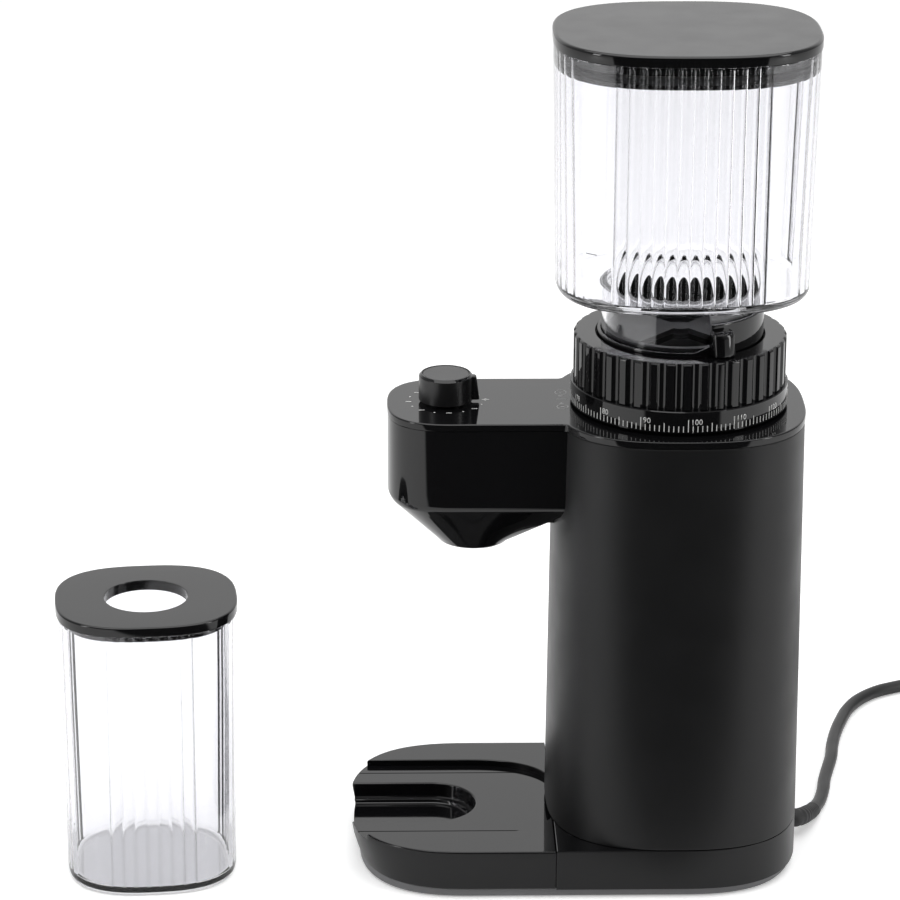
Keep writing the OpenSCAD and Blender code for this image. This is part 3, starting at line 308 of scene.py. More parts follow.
def shade(mesh, sharp):
    mesh.polygons.foreach_set("use_smooth", [True] * len(mesh.polygons))
    mesh.set_sharp_from_angle(angle=math.radians(sharp))
    mesh.update()


def tidy(mesh):
    bm = bmesh.new()
    bm.from_mesh(mesh)
    bmesh.ops.remove_doubles(bm, verts=bm.verts, dist=2e-7)
    bmesh.ops.dissolve_degenerate(bm, dist=1e-7, edges=bm.edges)
    bmesh.ops.recalc_face_normals(bm, faces=bm.faces)
    bm.to_mesh(mesh)
    bm.free()


MADE = set()


def piece(name, shape, mat, body, stands_for=(), slot=None, sharp=30, moved=None):
    """One object from (vertices in mm, faces), in the row frame, on its body."""
    verts, faces = shape
    verts = np.asarray(verts, float) * MM
    mesh = bpy.data.meshes.new(name)
    mesh.from_pydata(verts.tolist(), [], faces)
    if moved is not None:
        mesh.transform(moved)
    tidy(mesh)
    shade(mesh, sharp)
    mesh.materials.append(mat)
    obj = bpy.data.objects.new(name, mesh)
    bpy.context.scene.collection.objects.link(obj)
    if body:
        MADE.add(name)
        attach(obj, body)
        if stands_for:
            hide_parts(*stands_for)
    return obj


def carve(obj, tools, sharp=30, how="DIFFERENCE"):
    """Applies other objects to a piece as booleans, and removes them."""
    for tool in tools:
        mod = obj.modifiers.new("cut", "BOOLEAN")
        mod.operation = how
        mod.solver = "EXACT"
        mod.object = tool
    bpy.context.view_layer.update()
    made = bpy.data.meshes.new_from_object(obj.evaluated_get(
        bpy.context.evaluated_depsgraph_get()))
    obj.modifiers.clear()
    old, obj.data = obj.data, made
    made.name = old.name
    bpy.data.meshes.remove(old)
    for tool in tools:
        bpy.data.objects.remove(tool)
    tidy(obj.data)
    shade(obj.data, sharp)


def cut(obj, shapes, sharp=30, how="DIFFERENCE"):
    """Cuts shapes out of a piece, or adds them to it, and keeps the result as its mesh."""
    skin_mat = obj.data.materials[0]
    carve(obj, [piece("cutter", shape, skin_mat, None) for shape in shapes], sharp, how)


def join(obj, others):
    """Adds other shapes' faces to a piece."""
    bm = bmesh.new()
    bm.from_mesh(obj.data)
    for verts, faces in others:
        made = [bm.verts.new(Vector(v) * MM) for v in np.asarray(verts, float)]
        for f in faces:
            bm.faces.new([made[i] for i in f])
    bmesh.ops.recalc_face_normals(bm, faces=bm.faces)
    bm.to_mesh(obj.data)
    bm.free()
    shade(obj.data, 30)


def joined(name, shapes, *looks, **more):
    """One piece from several shapes."""
    obj = piece(name, shapes[0], *looks, **more)
    join(obj, shapes[1:])
    return obj


def lathe(profile, count=128, centre=(0, 0), closed=False):
    return skin([ring(circle(r, count, centre), z) for r, z in profile], closed)


def block(half, profile, count=200, closed=False):
    """A rounded square through (inset, height) pairs."""
    return skin([ring(squircle(half[0] - i, half[1] - i, count), z) for i, z in profile],
                closed)


def box(lo, hi, edge=0.0):
    """A block with its upright and level edges rounded."""
    lo, hi = np.array(lo, float), np.array(hi, float)
    mid, half = (lo + hi) / 2, (hi - lo) / 2
    e = min(edge, 0.49 * min(half) * 2)
    if e <= 0:
        x, y, z = half
        base = np.array([[-x, -y], [x, -y], [x, y], [-x, y]])
        return skin([ring(base + mid[:2], mid[2] - z), ring(base + mid[:2], mid[2] + z)])
    def flat(inset):
        x, y, r = half[0] - inset, half[1] - inset, max(e - inset, 0.02)
        pts = []
        for k, (sx, sy) in enumerate(((1, 1), (-1, 1), (-1, -1), (1, -1))):
            for q in np.linspace(0, math.pi / 2, 5):
                a = q + k * math.pi / 2
                pts.append((sx * (x - r) + r * math.cos(a), sy * (y - r) + r * math.sin(a)))
        return np.array(pts) + mid[:2]
    rings = []
    for q in np.linspace(0, math.pi / 2, 4):
        rings.append(ring(flat(e * (1 - math.sin(q))), mid[2] - half[2] + e * (1 - math.cos(q))))
    rings += [r * (1, 1, -1) + (0, 0, 2 * mid[2]) for r in rings[::-1]]
    return skin(rings)


def tube(points, radii, sides=24):
    """A tube along points in mm, with one radius for all or one for each point."""
    pts = np.asarray(points, float)
    radii = np.broadcast_to(radii, len(pts))
    way = np.gradient(pts, axis=0)
    way /= np.linalg.norm(way, axis=1)[:, None]
    side = np.cross(way, (0, 0, 1.0))
    side /= np.linalg.norm(side, axis=1)[:, None]
    up = np.cross(side, way)
    t = np.linspace(0, 2 * np.pi, sides, endpoint=False)
    return skin([p + r * (np.outer(np.cos(t), s) + np.outer(np.sin(t), u))
                 for p, r, s, u in zip(pts, radii, side, up)])


# ------------------------------------------------------------------- cord


def smooth_line(points, step):
    """A smooth line through points, with points a step apart."""
    p = np.asarray(points, float)
    p = np.vstack([2 * p[0] - p[1], p, 2 * p[-1] - p[-2]])
    out = []
    for i in range(1, len(p) - 2):
        a, b, c, d = p[i - 1:i + 3]
        for t in np.linspace(0, 1, 12, endpoint=False):
            out.append(0.5 * (2 * b + (c - a) * t + (2 * a - 5 * b + 4 * c - d) * t ** 2
                              + (3 * b - a - 3 * c + d) * t ** 3))
    out = np.array(out + [p[-2]])
    reach = np.concatenate([[0], np.cumsum(np.linalg.norm(np.diff(out, axis=0), axis=1))])
    u = np.linspace(0, reach[-1], max(2, int(reach[-1] / step)))
    return np.column_stack([np.interp(u, reach, out[:, i]) for i in range(3)])


CORD_R = 3.0
LEAD = [(-24, 69, 4), (-35, 73, 3), (-47, 76, 3), (-59, 78, 3), (-72, 81, 3), (-85, 84, 3),
        (-98, 86, 3), (-112, 89, 3), (-126, 93, 3), (-140, 98, 3), (-152, 105, 3),
        (-162, 115, 3), (-169, 128, 3), (-175, 140.5, 3), (-179.3, 150.6, 3), (-181, 165, 3)]
COIL = (-208.0, 180.0)
TAIL = [(-168.5, 157.5, 4.5), (-162, 163.3, 4), (-154.5, 167.8, 4), (-146.5, 170.3, 4.5),
        (-138.3, 171.2, 5.5), (-130, 171.2, 6)]


def coil_points():
    """Two turns and most of a third, each outside the last, which climb over the lead."""
    out = []
    for deg in range(0, 3 * 360 - 34, 8):
        lap, a = divmod(deg, 360)
        s = min(1.0, max(0.0, (a - 262) / 62))
        r = 27 + 6 * (lap + s * s * (3 - 2 * s))
        over = max(0.0, 1 - abs(a - 322) / 62) if a > 180 else max(0.0, 1 - (a + 38) / 62)
        over = 0.0 if deg < 200 else over
        hump = over * over * (3 - 2 * over)
        out.append((COIL[0] + r * math.cos(math.radians(a)),
                    COIL[1] + r * math.sin(math.radians(a)), 3 + 6.6 * hump))
    return out


route = smooth_line(LEAD + coil_points() + TAIL, 1.5)
curve = bpy.data.curves.new("cord", "CURVE")
curve.dimensions = "3D"
spline = curve.splines.new("POLY")
spline.points.add(len(route) - 1)
spline.points.foreach_set("co", np.column_stack([route * MM, np.ones(len(route))]).ravel())
curve.bevel_depth = CORD_R * MM
curve.bevel_resolution = 6
curve.use_fill_caps = True
curve.materials.append(CORD)
cord = bpy.data.objects.new("mains_cord", curve)
bpy.context.scene.collection.objects.link(cord)
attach(cord, "root")
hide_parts("cord_lead", "cord_coil", "cord_tail")

# ----------------------------------------------------- relief and the plug

relief_path = smooth_line([(-4, 54.5, 9.2), (-4, 57, 9.2), (-4.6, 59.6, 9.1), (-8, 62.4, 8.3),
                           (-13.5, 64.9, 6.8), (-19, 67.2, 5.2), (-24.6, 69.2, 3.95)], 0.45)
u = np.linspace(0, 1, len(relief_path))
ribs = 0.35 * (0.5 - 0.5 * np.cos(2 * np.pi * 9 * np.clip((u - 0.16) / 0.74, 0, 1)))
piece("cord_relief", tube(relief_path, 4.35 - 0.85 * u - ribs, 32), RUBBER, "root",
      ["strain_relief"], "seal_rubber", 50)

PLUG = (-130.0, 171.2, 6.0)


def across(hy, hz, x, n=2.0, count=64):
    p = squircle(hy, hz, count, n)
    return np.column_stack([np.full(count, PLUG[0] + x), PLUG[1] + p[:, 0], PLUG[2] + p[:, 1]])


stations = [across(3.2, 3.2, -1)]
for k in range(41):
    f = k / 40
    dip = 0.45 * (0.5 - 0.5 * math.cos(2 * math.pi * 6 * min(1, f / 0.9)))
    stations.append(across(3.6 + 1.5 * f - dip, 3.6 + 1.3 * f - dip, 19 * f))
for x, hy, hz in ((20, 5.6, 5.1), (21, 6.6, 5.4), (22.5, 7.8, 5.7), (24.5, 8.6, 5.9),
                  (28, 8.9, 5.95), (38, 8.9, 5.95), (42, 8.95, 5.95), (43.2, 8.8, 5.8),
                  (43.8, 8.4, 5.4), (44, 7.8, 4.8)):
    stations.append(across(hy, hz, x, 2.0 + 0.9 * min(1, (x - 19) / 6)))
plug = piece("cord_plug", skin(stations), RUBBER, "root", ["plug_body"], "seal_rubber", 40)
blades = joined("plug_blades", [
    box((PLUG[0] + 42, y - 0.75, PLUG[2] - 3.2), (PLUG[0] + 61, y + 0.75, PLUG[2] + 3.2), 0.3)
    for y in (PLUG[1] - 6.35, PLUG[1] + 6.35)], BRASS, "root", ["plug_pins"], "plug_brass")

# -------------------------------------------------------------------- base


HALF_X, HALF_Y = 59, 56.4   # the foot of the column, and so the base
NOSE_Y = -88.6              # where the tray's sides start to bend into its nose
RAIL_X = 23.7               # the base's two rails, on which the tray runs
FEET = [(-38, -123), (38, -123), (-38, 34.4), (38, 34.4), (0, 0)]
POSTS = [(-30, -24), (30, -24), (-30, 24), (30, 24)]
FOOT = [(5.2, 0.5), (5.6, 0.1), (6.4, 0), (6.9, 0.3), (6.98, 0.9), (6.98, 2.48)]


def base_line(inset, front=53.6):
    hx = HALF_X - inset
    back = bent(np.linspace(0, math.pi, 121), hx, HALF_Y - inset)
    y = np.linspace(0, -front, 16)[1:]
    left = np.column_stack([np.full(15, -hx), y])
    x = np.linspace(-hx, hx, 21)[1:-1]
    low = np.column_stack([x, np.full(19, -front)])
    rest = np.column_stack([np.full(15, hx), y[::-1]])
    return np.vstack([back, left, low, rest])


def tray_line(inset, back=53.9, lean=0.0):
    """The tray seen from above; lean draws its nose in."""
    hx = HALF_X - inset
    nose = bent(np.linspace(math.pi, 2 * math.pi, 161), hx, HALF_Y - inset - lean, (0, NOSE_Y))
    y = np.linspace(NOSE_Y, -back, 13)[1:]
    right_side = np.column_stack([np.full(12, hx), y])
    x = np.linspace(hx, -hx, 21)[1:-1]
    rear = np.column_stack([x, np.full(19, -back)])
    left = np.column_stack([np.full(12, -hx), y[::-1]])
    return np.vstack([nose, right_side, rear, left])


def two_tone(obj, upper, height):
    """Gives an object's upward faces above a height their own finish."""
    obj.data.materials.append(upper)
    for face in obj.data.polygons:
        if face.center.z > height and face.normal.z > 0.5:
            face.material_index = len(obj.data.materials) - 1


base = piece("base_moulding", skin([ring(base_line(i, f), z) for i, f, z in (
    (0.0, 53.6, 4.5), (0.0, 53.6, 22.5), (0.15, 53.45, 22.95), (0.6, 53.0, 23.2))]), SIDES,
    "root", ["base_body"], "satin_black")
cut(base, [skin([ring(base_line(2.6, 51.0), 4.0), ring(base_line(2.6, 51.0), 20.6)]),
           tube([(-4, 50, 9.2), (-4, 60, 9.2)], 4.42, 48)])
cut(base, [skin([ring(squircle(52.4, 47.0), 20.0), ring(squircle(52.4, 47.0), 25.0)])])
two_tone(base, GLOSS, 0.0226)

floor_line = np.vstack([squircle(57.2, 54.6, 200)[:101],
                        squircle(57.2, 51.9, 200, centre=(0, NOSE_Y))[100:]])
strip = piece("floor_moulding", skin([ring(offset(floor_line, i), z) for i, z in (
    (0.5, 0.7), (0, 1.2), (0, 4.48))]), STRIP, "root", ["base_plate"], "base_strip")
holes = [lathe([(7.02, 0), (7.02, 2.5)], 64, c) for c in FEET]
holes += [lathe([(3, 0), (3, 3.6), (1.7, 3.6), (1.7, 6)], 48, c) for c in POSTS]
for i in range(6):
    for s in (-1, 1):
        x = s * (11 + 5 * i)
        holes.append(box((x - 1.2, -15, 0), (x + 1.2, 15, 6)))
cut(strip, holes)
join(strip, [box((x - 1, -117, 4.4), (x + 1, -59.6, 11.4), 0.2) for x in (-RAIL_X, RAIL_X)])

joined("feet", [lathe(FOOT, 64, c) for c in FEET], RUBBER, "root", ["rubber_feet"], "foot_rubber")

# -------------------------------------------------------------------- tray

tray = piece("tray", skin([ring(tray_line(i, 53.9 + j, lean), z) for i, j, lean, z in (
    (0.3, 0.0, 4.2, 4.8), (0.0, 0.0, 4.0, 5.3), (0.0, 0.0, 2.6, 9.0), (0.0, 0.0, 0.9, 14.5),
    (0.0, 0.0, 0.1, 19.0), (0.0, 0.0, 0.0, 22.0), (0.15, 0.1, 0.0, 22.5),
    (0.45, 0.3, 0.0, 22.8), (0.9, 0.5, 0.0, 22.9))]), SIDES, "tray", ["catch_tray"],
    "gloss_black")


def recess_line(grow):
    hx = 39.5 + grow
    back = bent(np.linspace(0, math.pi, 121), hx, 42.5 + grow, (0, -93.1))
    return np.vstack([back, [(-hx, -160), (hx, -160)]])


def slot_line(grow):
    r = 20 + grow
    arc = around(r, np.linspace(0, math.pi, 65), (0, -108))
    return np.vstack([arc, [(-r, -160), (r, -160)]])


cut(tray, [
    skin([ring(recess_line(g), z) for g, z in ((0, 20.1), (0, 22.5), (0.2, 22.8), (0.6, 23.1),
                                               (1.0, 24))]),
])
cut(tray, [
    skin([ring(slot_line(g), z) for g, z in ((-5, 11.3), (-3.6, 11.4), (-2.9, 11.8),
                                             (-2.6, 12.6), (-2.2, 13.1), (-1.0, 13.3),
                                             (-0.4, 13.6), (-0.1, 14.3), (0, 19.3), (0.15, 19.7),
                                             (0.5, 20.0), (0.9, 20.1), (1.0, 21))]),
])
for x in (-31, 31):
    cut(tray, [box((x - 0.35, -160, 19.45), (x + 0.35, -66, 20.6))])
for x in (-RAIL_X, RAIL_X):   # the rails' ways through the back wall
    cut(tray, [box((x - 1.4, -60, 4.0), (x + 1.4, -50, 11.8))])
under = piece("under", skin([ring(tray_line(2.4, 56.3, 4.0), z) for z in (4.0, 17.5)]), SIDES,
              None)
cut(under, [skin([ring(slot_line(2.4), z) for z in (8.9, 25)])])
carve(tray, [under])
tray.data.materials.clear()
tray.data.materials.append(SIDES)
tray.data.materials.append(GLOSS)
for face in tray.data.polygons:
    x, y, z = face.center
    in_slot = abs(x) < 0.0211 and z > 0.011 and y < -0.08 and abs(face.normal.y) < 0.95
    lit = z > 0.0192 and abs(face.normal.z) > 0.5
    face.material_index = 1 if lit or in_slot else 0

# ------------------------------------------------------------------ column


def column_half(z):
    f = (z - 23.2) / (209.4 - 23.2)
    return HALF_X - 5 * f, HALF_Y - 1.6 * f


def column_ring(inset, z, count=280):
    hx, hy = column_half(z)
    return ring(squircle(hx - inset, hy - inset, count), z)


column = piece("column", skin([column_ring(i, z) for i, z in (
    (0.5, 23.22), (0.12, 23.4), (0.0, 23.9), (0.0, 80), (0.0, 140), (0.0, 208.9), (0.3, 209.35),
    (2.4, 209.35), (2.4, 120), (2.4, 23.22))], True), SATIN, "root", ["column_shell"],
    "satin_black")
cut(column, [box((-14.7, -70, 160.8), (14.7, -40, 179.2))])

# --------------------------------------------------------------------- arm

CENTRE = np.array((0.0, -88.0))   # inside each of the arm's outlines
ARM_NOSE_Y = -97.6                # where its sides start to bend into its nose
KNOB = (0, -102)
PHI = np.linspace(0, 2 * np.pi, 320, endpoint=False)


def polar(line, centre=CENTRE, phis=PHI):
    """How far a closed line lies from centre in each direction."""
    line = np.asarray(line, float) - centre
    a, b = line, np.roll(line, -1, 0)
    out = []
    for phi in phis:
        d = np.array((math.cos(phi), math.sin(phi)))
        e = b - a
        cross = d[0] * e[:, 1] - d[1] * e[:, 0]
        cross = np.where(np.abs(cross) < 1e-12, 1e-12, cross)
        reach = (a[:, 0] * e[:, 1] - a[:, 1] * e[:, 0]) / cross
        share = (a[:, 0] * d[1] - a[:, 1] * d[0]) / cross
        hit = (reach > 0) & (share >= -1e-9) & (share <= 1 + 1e-9)
        out.append(reach[hit].max())
    return np.array(out)


def arm_line(inset, back, nose=30.0):
    hx = 30.7 - inset
    front = bent(np.linspace(math.pi, 2 * math.pi, 121), hx, nose - inset, (0, ARM_NOSE_Y))
    return np.vstack([front, [(hx, -back), (-hx, -back)]])


full_r = polar(arm_line(0, 46.8))
ARM_Z = np.array([150.6, 171.4, 172.2, 173.2, 174.6])
ARM_R = np.array([polar(circle(16.4, 160, (0, -89.7))), polar(arm_line(1.4, 47.8)),
                  polar(arm_line(0.9, 47.4)), polar(arm_line(0.4, 47.0)), full_r])


def arm_ring(z, inset=0.0):
    r = np.array([np.interp(z, ARM_Z, column) for column in ARM_R.T]) - inset
    return ring(around(r, PHI, CENTRE), z)


def arm_circle(r, z):
    return ring(around(r, PHI, CENTRE), z)


outer = [arm_ring(z) for z in (209.35, 200, 190, 180, 174.6, 174.1, 173.6, 173.2, 172.7, 172.2,
                               171.8, 171.4, 168, 164, 160, 156, 153, 151.4, 150.6)]
outer += [arm_ring(z, d) for z, d in ((150.1, 0.35), (149.6, 0.9), (149.25, 1.7), (149.1, 2.6))]
outer += [arm_circle(12.05, 148.6), arm_circle(11.8, 148.2), arm_circle(11.2, 148.0)]
inner = [arm_circle(10.0, 148.0), arm_circle(9.5, 148.4), arm_circle(9.44, 149.0),
         arm_circle(9.44, 155.1)]
inner += [arm_ring(z, 3.0) for z in (155.1, 158, 161, 165, 168)]
inner += [arm_ring(z, 2.2) for z in (172.6, 209.35)]
arm = piece("spout_arm", skin(outer + inner, True), GLOSS, "root", ["arm_shell"], "gloss_black",
            38)
cut(arm, [skin([column_ring(-0.03, z) for z in (100, 230)])], 38)

# --------------------------------------------------------------- top plate

PLATE_X = 30.85   # half the width of the plate's tongue over the arm
corner_y = -side_of(55.1, 54.3, PLATE_X)
shell = [p for p in squircle(54.3, 55.1, 360)
         if not (p[1] < 0 and abs(p[0]) < PLATE_X + 2.6)]
shell = sorted(shell, key=lambda p: (math.atan2(p[1], p[0]) + math.pi / 2) % (2 * math.pi))
tip = bent(np.linspace(math.pi, 2 * math.pi, 121), PLATE_X, 30.15, (0, ARM_NOSE_Y))
outline = ([(p[0], p[1], 0) for p in shell] + [(-PLATE_X, corner_y, 3)]
           + [(x, y, 0) for x, y in tip]
           + [(PLATE_X, corner_y, 3), (shell[0][0], shell[0][1], 0)])
plate_line = np.array(soften(outline)[:-1])
plate = piece("deck_plate", skin([ring(offset(plate_line, i), z) for i, z in (
    (0.35, 209.42), (0.05, 209.6), (0.0, 209.9), (0.0, 212.1), (0.15, 212.45), (0.45, 212.65),
    (0.9, 212.7))]), GLOSS, "root", ["top_plate"], "gloss_black", 40)
cut(plate, [
    lathe([(41.04, 205), (41.04, 211), (41.04, 212.3), (41.5, 212.8), (41.5, 214)], 200),
    lathe([(5.09, 205), (5.09, 216)], 64, KNOB),
    lathe([(1.55, 205), (1.55, 216)], 32,
          (44.55 * math.cos(math.radians(200)), 44.55 * math.sin(math.radians(200)))),
], 40)

# -------------------------------------------------------------------- knob

knob = piece("knob_body", lathe([
    (3.1, 224.2), (3.1, 216.4), (5.4, 216.4), (5.4, 214.0), (11.5, 214.0), (11.85, 214.15),
    (11.9, 214.6), (11.78, 224.7), (11.72, 224.95), (11.0, 225.72), (10.8, 225.9),
    (10.55, 225.96), (10.36, 225.9), (10.3, 225.7), (10.28, 225.2)], 128, KNOB), KNOB_BLACK,
    "knob", ["knob_cap"], "gloss_black", 25)


def fin_line(inset, reach):
    """The pointer seen from above: a blunt fin that starts inside the knob."""
    w, tip, round_r = 2.0 - inset, KNOB[1] + reach - inset, 0.8
    t = np.linspace(0, math.pi / 2, 6)
    right_corner = np.column_stack([w - round_r + round_r * np.cos(t),
                                    tip - round_r + round_r * np.sin(t)])
    left_corner = right_corner[::-1] * (-1, 1)
    return np.vstack([right_corner, left_corner, [(-w, KNOB[1] + 7), (w, KNOB[1] + 7)]])


cut(knob, [skin([ring(fin_line(i, r), z) for i, r, z in (
    (0.2, 14.7, 214.02), (0.0, 14.7, 214.3), (0.0, 13.4, 224.2), (0.2, 13.3, 224.6),
    (0.6, 13.2, 224.8))])], 25, "UNION")
knob.data.materials.append(GLOSS)
for bevel in knob.data.polygons:
    if bevel.center.z > 0.2249 and bevel.normal.z < 0.97:
        bevel.material_index = 1
piece("knob_disc", lathe([(9.9, 225.22), (10.2, 225.4), (10.2, 225.6), (9.95, 225.78)], 96,
                         KNOB), LID_TOP, "knob", ["knob_face"], "gloss_black")

# ------------------------------------------------------------------- ring

FLUTES = 40
THETA = np.linspace(0, 2 * np.pi, FLUTES * 26, endpoint=False)
GRIP_R, FLUTE_R, FLUTE_AT = 46.4, 2.45, 47.5   # the grip, its flutes and their centres' circle
BAND_R = 47.5


def grip_ring(r, z):
    """The grip's outline at a height: round flutes that run out through its top edge."""
    step = 2 * math.pi / FLUTES
    a = THETA % step - step / 2
    inside = FLUTE_R ** 2 - (FLUTE_AT * np.sin(a)) ** 2
    cut_r = FLUTE_AT * np.cos(a) - np.sqrt(np.maximum(inside, 0))
    dent = np.where(inside > 0, np.maximum(0, GRIP_R - cut_r), 0)
    return ring(around(np.minimum(r, GRIP_R - dent), THETA), z)


def plain_ring(r, z):
    return ring(around(r, THETA), z)


rings = [plain_ring(44.55, 214.3), plain_ring(44.55, 223.9), grip_ring(46.0, 224.03),
         grip_ring(46.4, 224.4)]
rings += [grip_ring(r, z) for r, z in ((46.4, 230), (46.4, 237), (46.4, 243.9), (46.25, 244.4),
                                       (45.9, 244.75), (45.45, 244.93))]
rings += [plain_ring(r, z) for r, z in ((44.85, 245.0), (37.4, 245.0), (37.05, 244.85),
                                        (36.9, 244.5), (36.9, 241.0), (41.6, 241.0),
                                        (41.6, 214.3))]
piece("grip_ring", skin(rings, True), GLOSS, "ring", ["adjusting_ring"], "gloss_black", 32)
piece("number_band", lathe([(44.63, 214.02), (47.2, 214.02), (BAND_R, 214.3), (BAND_R, 223.6),
                            (47.25, 223.97), (44.63, 223.97)], 240, closed=True), GLOSS,
      "ring", ["scale_band"], "gloss_black")


def wrapped(name, bits, mat, body, r, slot):
    """Thin printed marks on a drum of radius r, from (angle, height, width, length) bits."""
    verts, faces = [], []
    for a0, z0, w, h in bits:
        b = len(verts)
        for dr in (0.0, 0.06):
            for da, dz in ((-1, 0), (1, 0), (1, 1), (-1, 1)):
                a = a0 + da * w / 2 / r
                verts.append(((r - 0.02 + dr) * math.cos(a), (r - 0.02 + dr) * math.sin(a),
                              z0 + dz * h))
        faces += [(b + 3, b + 2, b + 1, b), (b + 4, b + 5, b + 6, b + 7)]
        faces += [(b + k, b + (k + 1) % 4, b + 4 + (k + 1) % 4, b + 4 + k) for k in range(4)]
    return piece(name, (verts, faces), mat, body, slot=slot)


def scale_angle(unit):
    return math.radians((unit - 99.7) * 2.5)


bits = []
for unit in range(0, 141):
    length = 5.6 if unit % 10 == 0 else 3.9 if unit % 5 == 0 else 2.7
    bits.append((scale_angle(unit), 214.9, 0.4, length))
wrapped("scale_ticks", bits, PRINT, "ring", BAND_R, "gloss_black")


def figure(text, size, place):
    """A number as a thin mesh whose corners place(x, y, depth) moves."""
    font = bpy.data.curves.new("figure", "FONT")
    font.body = text
    font.size = size
    font.extrude = 0.03
    font.resolution_u = 3
    holder = bpy.data.objects.new("figure", font)
    bpy.context.scene.collection.objects.link(holder)
    bpy.context.view_layer.update()
    mesh = bpy.data.meshes.new_from_object(holder.evaluated_get(
        bpy.context.evaluated_depsgraph_get()))
    bpy.data.objects.remove(holder)
    bpy.data.curves.remove(font)
    verts = [place(*v.co) for v in mesh.vertices]
    faces = [tuple(f.vertices) for f in mesh.polygons]
    bpy.data.meshes.remove(mesh)
    return verts, faces


shapes = []
for unit in range(0, 131, 10):
    a0 = scale_angle(unit) + 1.0 / BAND_R

    def on_band(x, y, depth, a0=a0):
        a, r = a0 + x / BAND_R, BAND_R + 0.01 + depth
        return r * math.cos(a), r * math.sin(a), 218.2 + y

    shapes.append(figure(str(unit), 3.5, on_band))
numbers = joined("scale_numbers", shapes, PRINT, "ring", slot="gloss_black")
tidy(numbers.data)

# ---------------------------------------------------------- marks on plate


MARK_Z = 212.69   # just under the plate's top


def flat_marks(name, lines, mat):
    joined(name, [skin([ring(line, MARK_Z), ring(line, MARK_Z + 0.06)]) for line in lines], mat,
           "root", slot="gloss_black")


def bar(cx, cy, length, width, angle):
    c, s = math.cos(angle), math.sin(angle)
    pts = np.array([(-length / 2, -width / 2), (length / 2, -width / 2),
                    (length / 2, width / 2), (-length / 2, width / 2)])
    return pts @ np.array([(c, s), (-s, c)]) + (cx, cy)


DIAL = (-1.0, -102.0)
marks = []
for k in range(16):
    a = math.radians(94 + 22.5 * k)
    cx, cy = DIAL[0] + 16.4 * math.cos(a), DIAL[1] + 16.4 * math.sin(a)
    if k == 0:
        for length, turn in ((3.4, 90), (2.6, 0), (1.7, 45), (1.7, 135)):
            marks.append(bar(cx, cy + 1.0, length, 0.4, math.radians(turn)))
    elif k % 2:
        marks.append(circle(0.4, 16, (cx, cy)))
    else:
        marks.append(bar(cx, cy, 2.5, 0.5, math.pi / 2))
flat_marks("knob_marks", marks, PRINT)


def loop(cx, cy, hx, hy, width, count=40):
    """A thin closed loop, as quarters which each make a closed strip."""
    t = np.linspace(0, 2 * np.pi, count + 1)
    out = []
    for k in range(4):
        q = t[k * count // 4:(k + 1) * count // 4 + 1]
        wide = np.column_stack([cx + hx * np.cos(q), cy + hy * np.sin(q)])
        slim = np.column_stack([cx + (hx - width) * np.cos(q), cy + (hy - width) * np.sin(q)])
        out.append(np.vstack([wide, slim[::-1]]))
    return out


index = [bar(-2.3, -50.8, 5.2, 0.4, math.pi / 2)]
for cx, hx, lead in ((-11.3, 3.2, 1), (7.6, 2.8, -1)):
    index += loop(cx, -51.2, hx, 2.6, 0.35)
    index.append(bar(cx, -51.2, 1.6 if lead < 0 else 0.9, 0.9, math.pi / 2))
    tip = cx + lead * (hx + 2.6)
    index.append(np.array([(tip, -51.4), (tip - lead * 1.6, -51.4 + lead * 1.1),
                           (tip - lead * 1.6, -51.4 - lead * 1.1)]))
flat_marks("index_mark", index, FAINT)

# ------------------------------------------------------------------ hopper


def squared(hx, hy, phis, n=BULGE):
    r = (np.abs(np.cos(phis) / hx) ** n + np.abs(np.sin(phis) / hy) ** n) ** (-1 / n)
    return around(r, phis)


def vessel(levels, phis):
    """Closed skin through ("s", hx, hy, z), ("c", r, z) and ("f", points, z) levels."""
    rings = []
    for level in levels:
        if level[0] == "s":
            rings.append(ring(squared(level[1], level[2], phis), level[3]))
        elif level[0] == "c":
            rings.append(ring(around(level[1], phis), level[2]))
        else:
            rings.append(ring(level[1], level[2]))
    return rings


def half_at(foot, rim, z0, z1, z):
    f = (z - z0) / (z1 - z0)
    return foot[0] + (rim[0] - foot[0]) * f, foot[1] + (rim[1] - foot[1]) * f


def round_foot(half, r, z, steps):
    """Levels of a quarter round of radius r, from height z up to the half sizes."""
    return [("s", half[0] - r * (1 - math.sin(q)), half[1] - r * (1 - math.sin(q)),
             z + r * (1 - math.cos(q))) for q in np.linspace(0, math.pi / 2, steps + 1)]


probe = fluted(45.5, 53.3, 12, 1.1)
H_PHI = np.unwrap(np.arctan2(probe[:, 1], probe[:, 0]))
levels = [("c", 32.4, 241.2), ("c", 32.6, 240.95), ("c", 34.2, 240.95), ("c", 34.4, 241.2),
          ("c", 34.4, 250), ("c", 34.4, 258), ("c", 34.4, 264.6), ("c", 34.6, 265.4),
          ("c", 35.2, 265.9), ("c", 36.2, 266.02)]
foot, rim = (47.2, 55.0), (49.0, 56.8)
levels += round_foot(foot, 4, 266.02, 8)
for z in (290, 320, 350, 374.4):
    levels.append(("s", *half_at(foot, rim, 270, 375, z), z))
levels += [("s", 48.85, 56.65, 374.8), ("s", 48.5, 56.3, 374.98), ("s", 47.0, 54.8, 374.98),
           ("s", 46.7, 54.5, 374.7)]
for z in (373.5, 340, 305, 272, 270.4):
    hx, hy = half_at((44.8, 52.6), (46.6, 54.4), 269.2, 375, z)
    levels.append(("f", fluted(hx, hy, 12, 1.1), z))
for d, z in ((0.5, 269.7), (1.6, 269.3), (3.0, 269.2)):
    hx, hy = 44.8 - d, 52.6 - d
    levels.append(("s", hx, hy, z))
levels += [("c", 33.4, 269.2), ("c", 32.7, 268.9), ("c", 32.4, 268.2), ("c", 32.4, 258)]
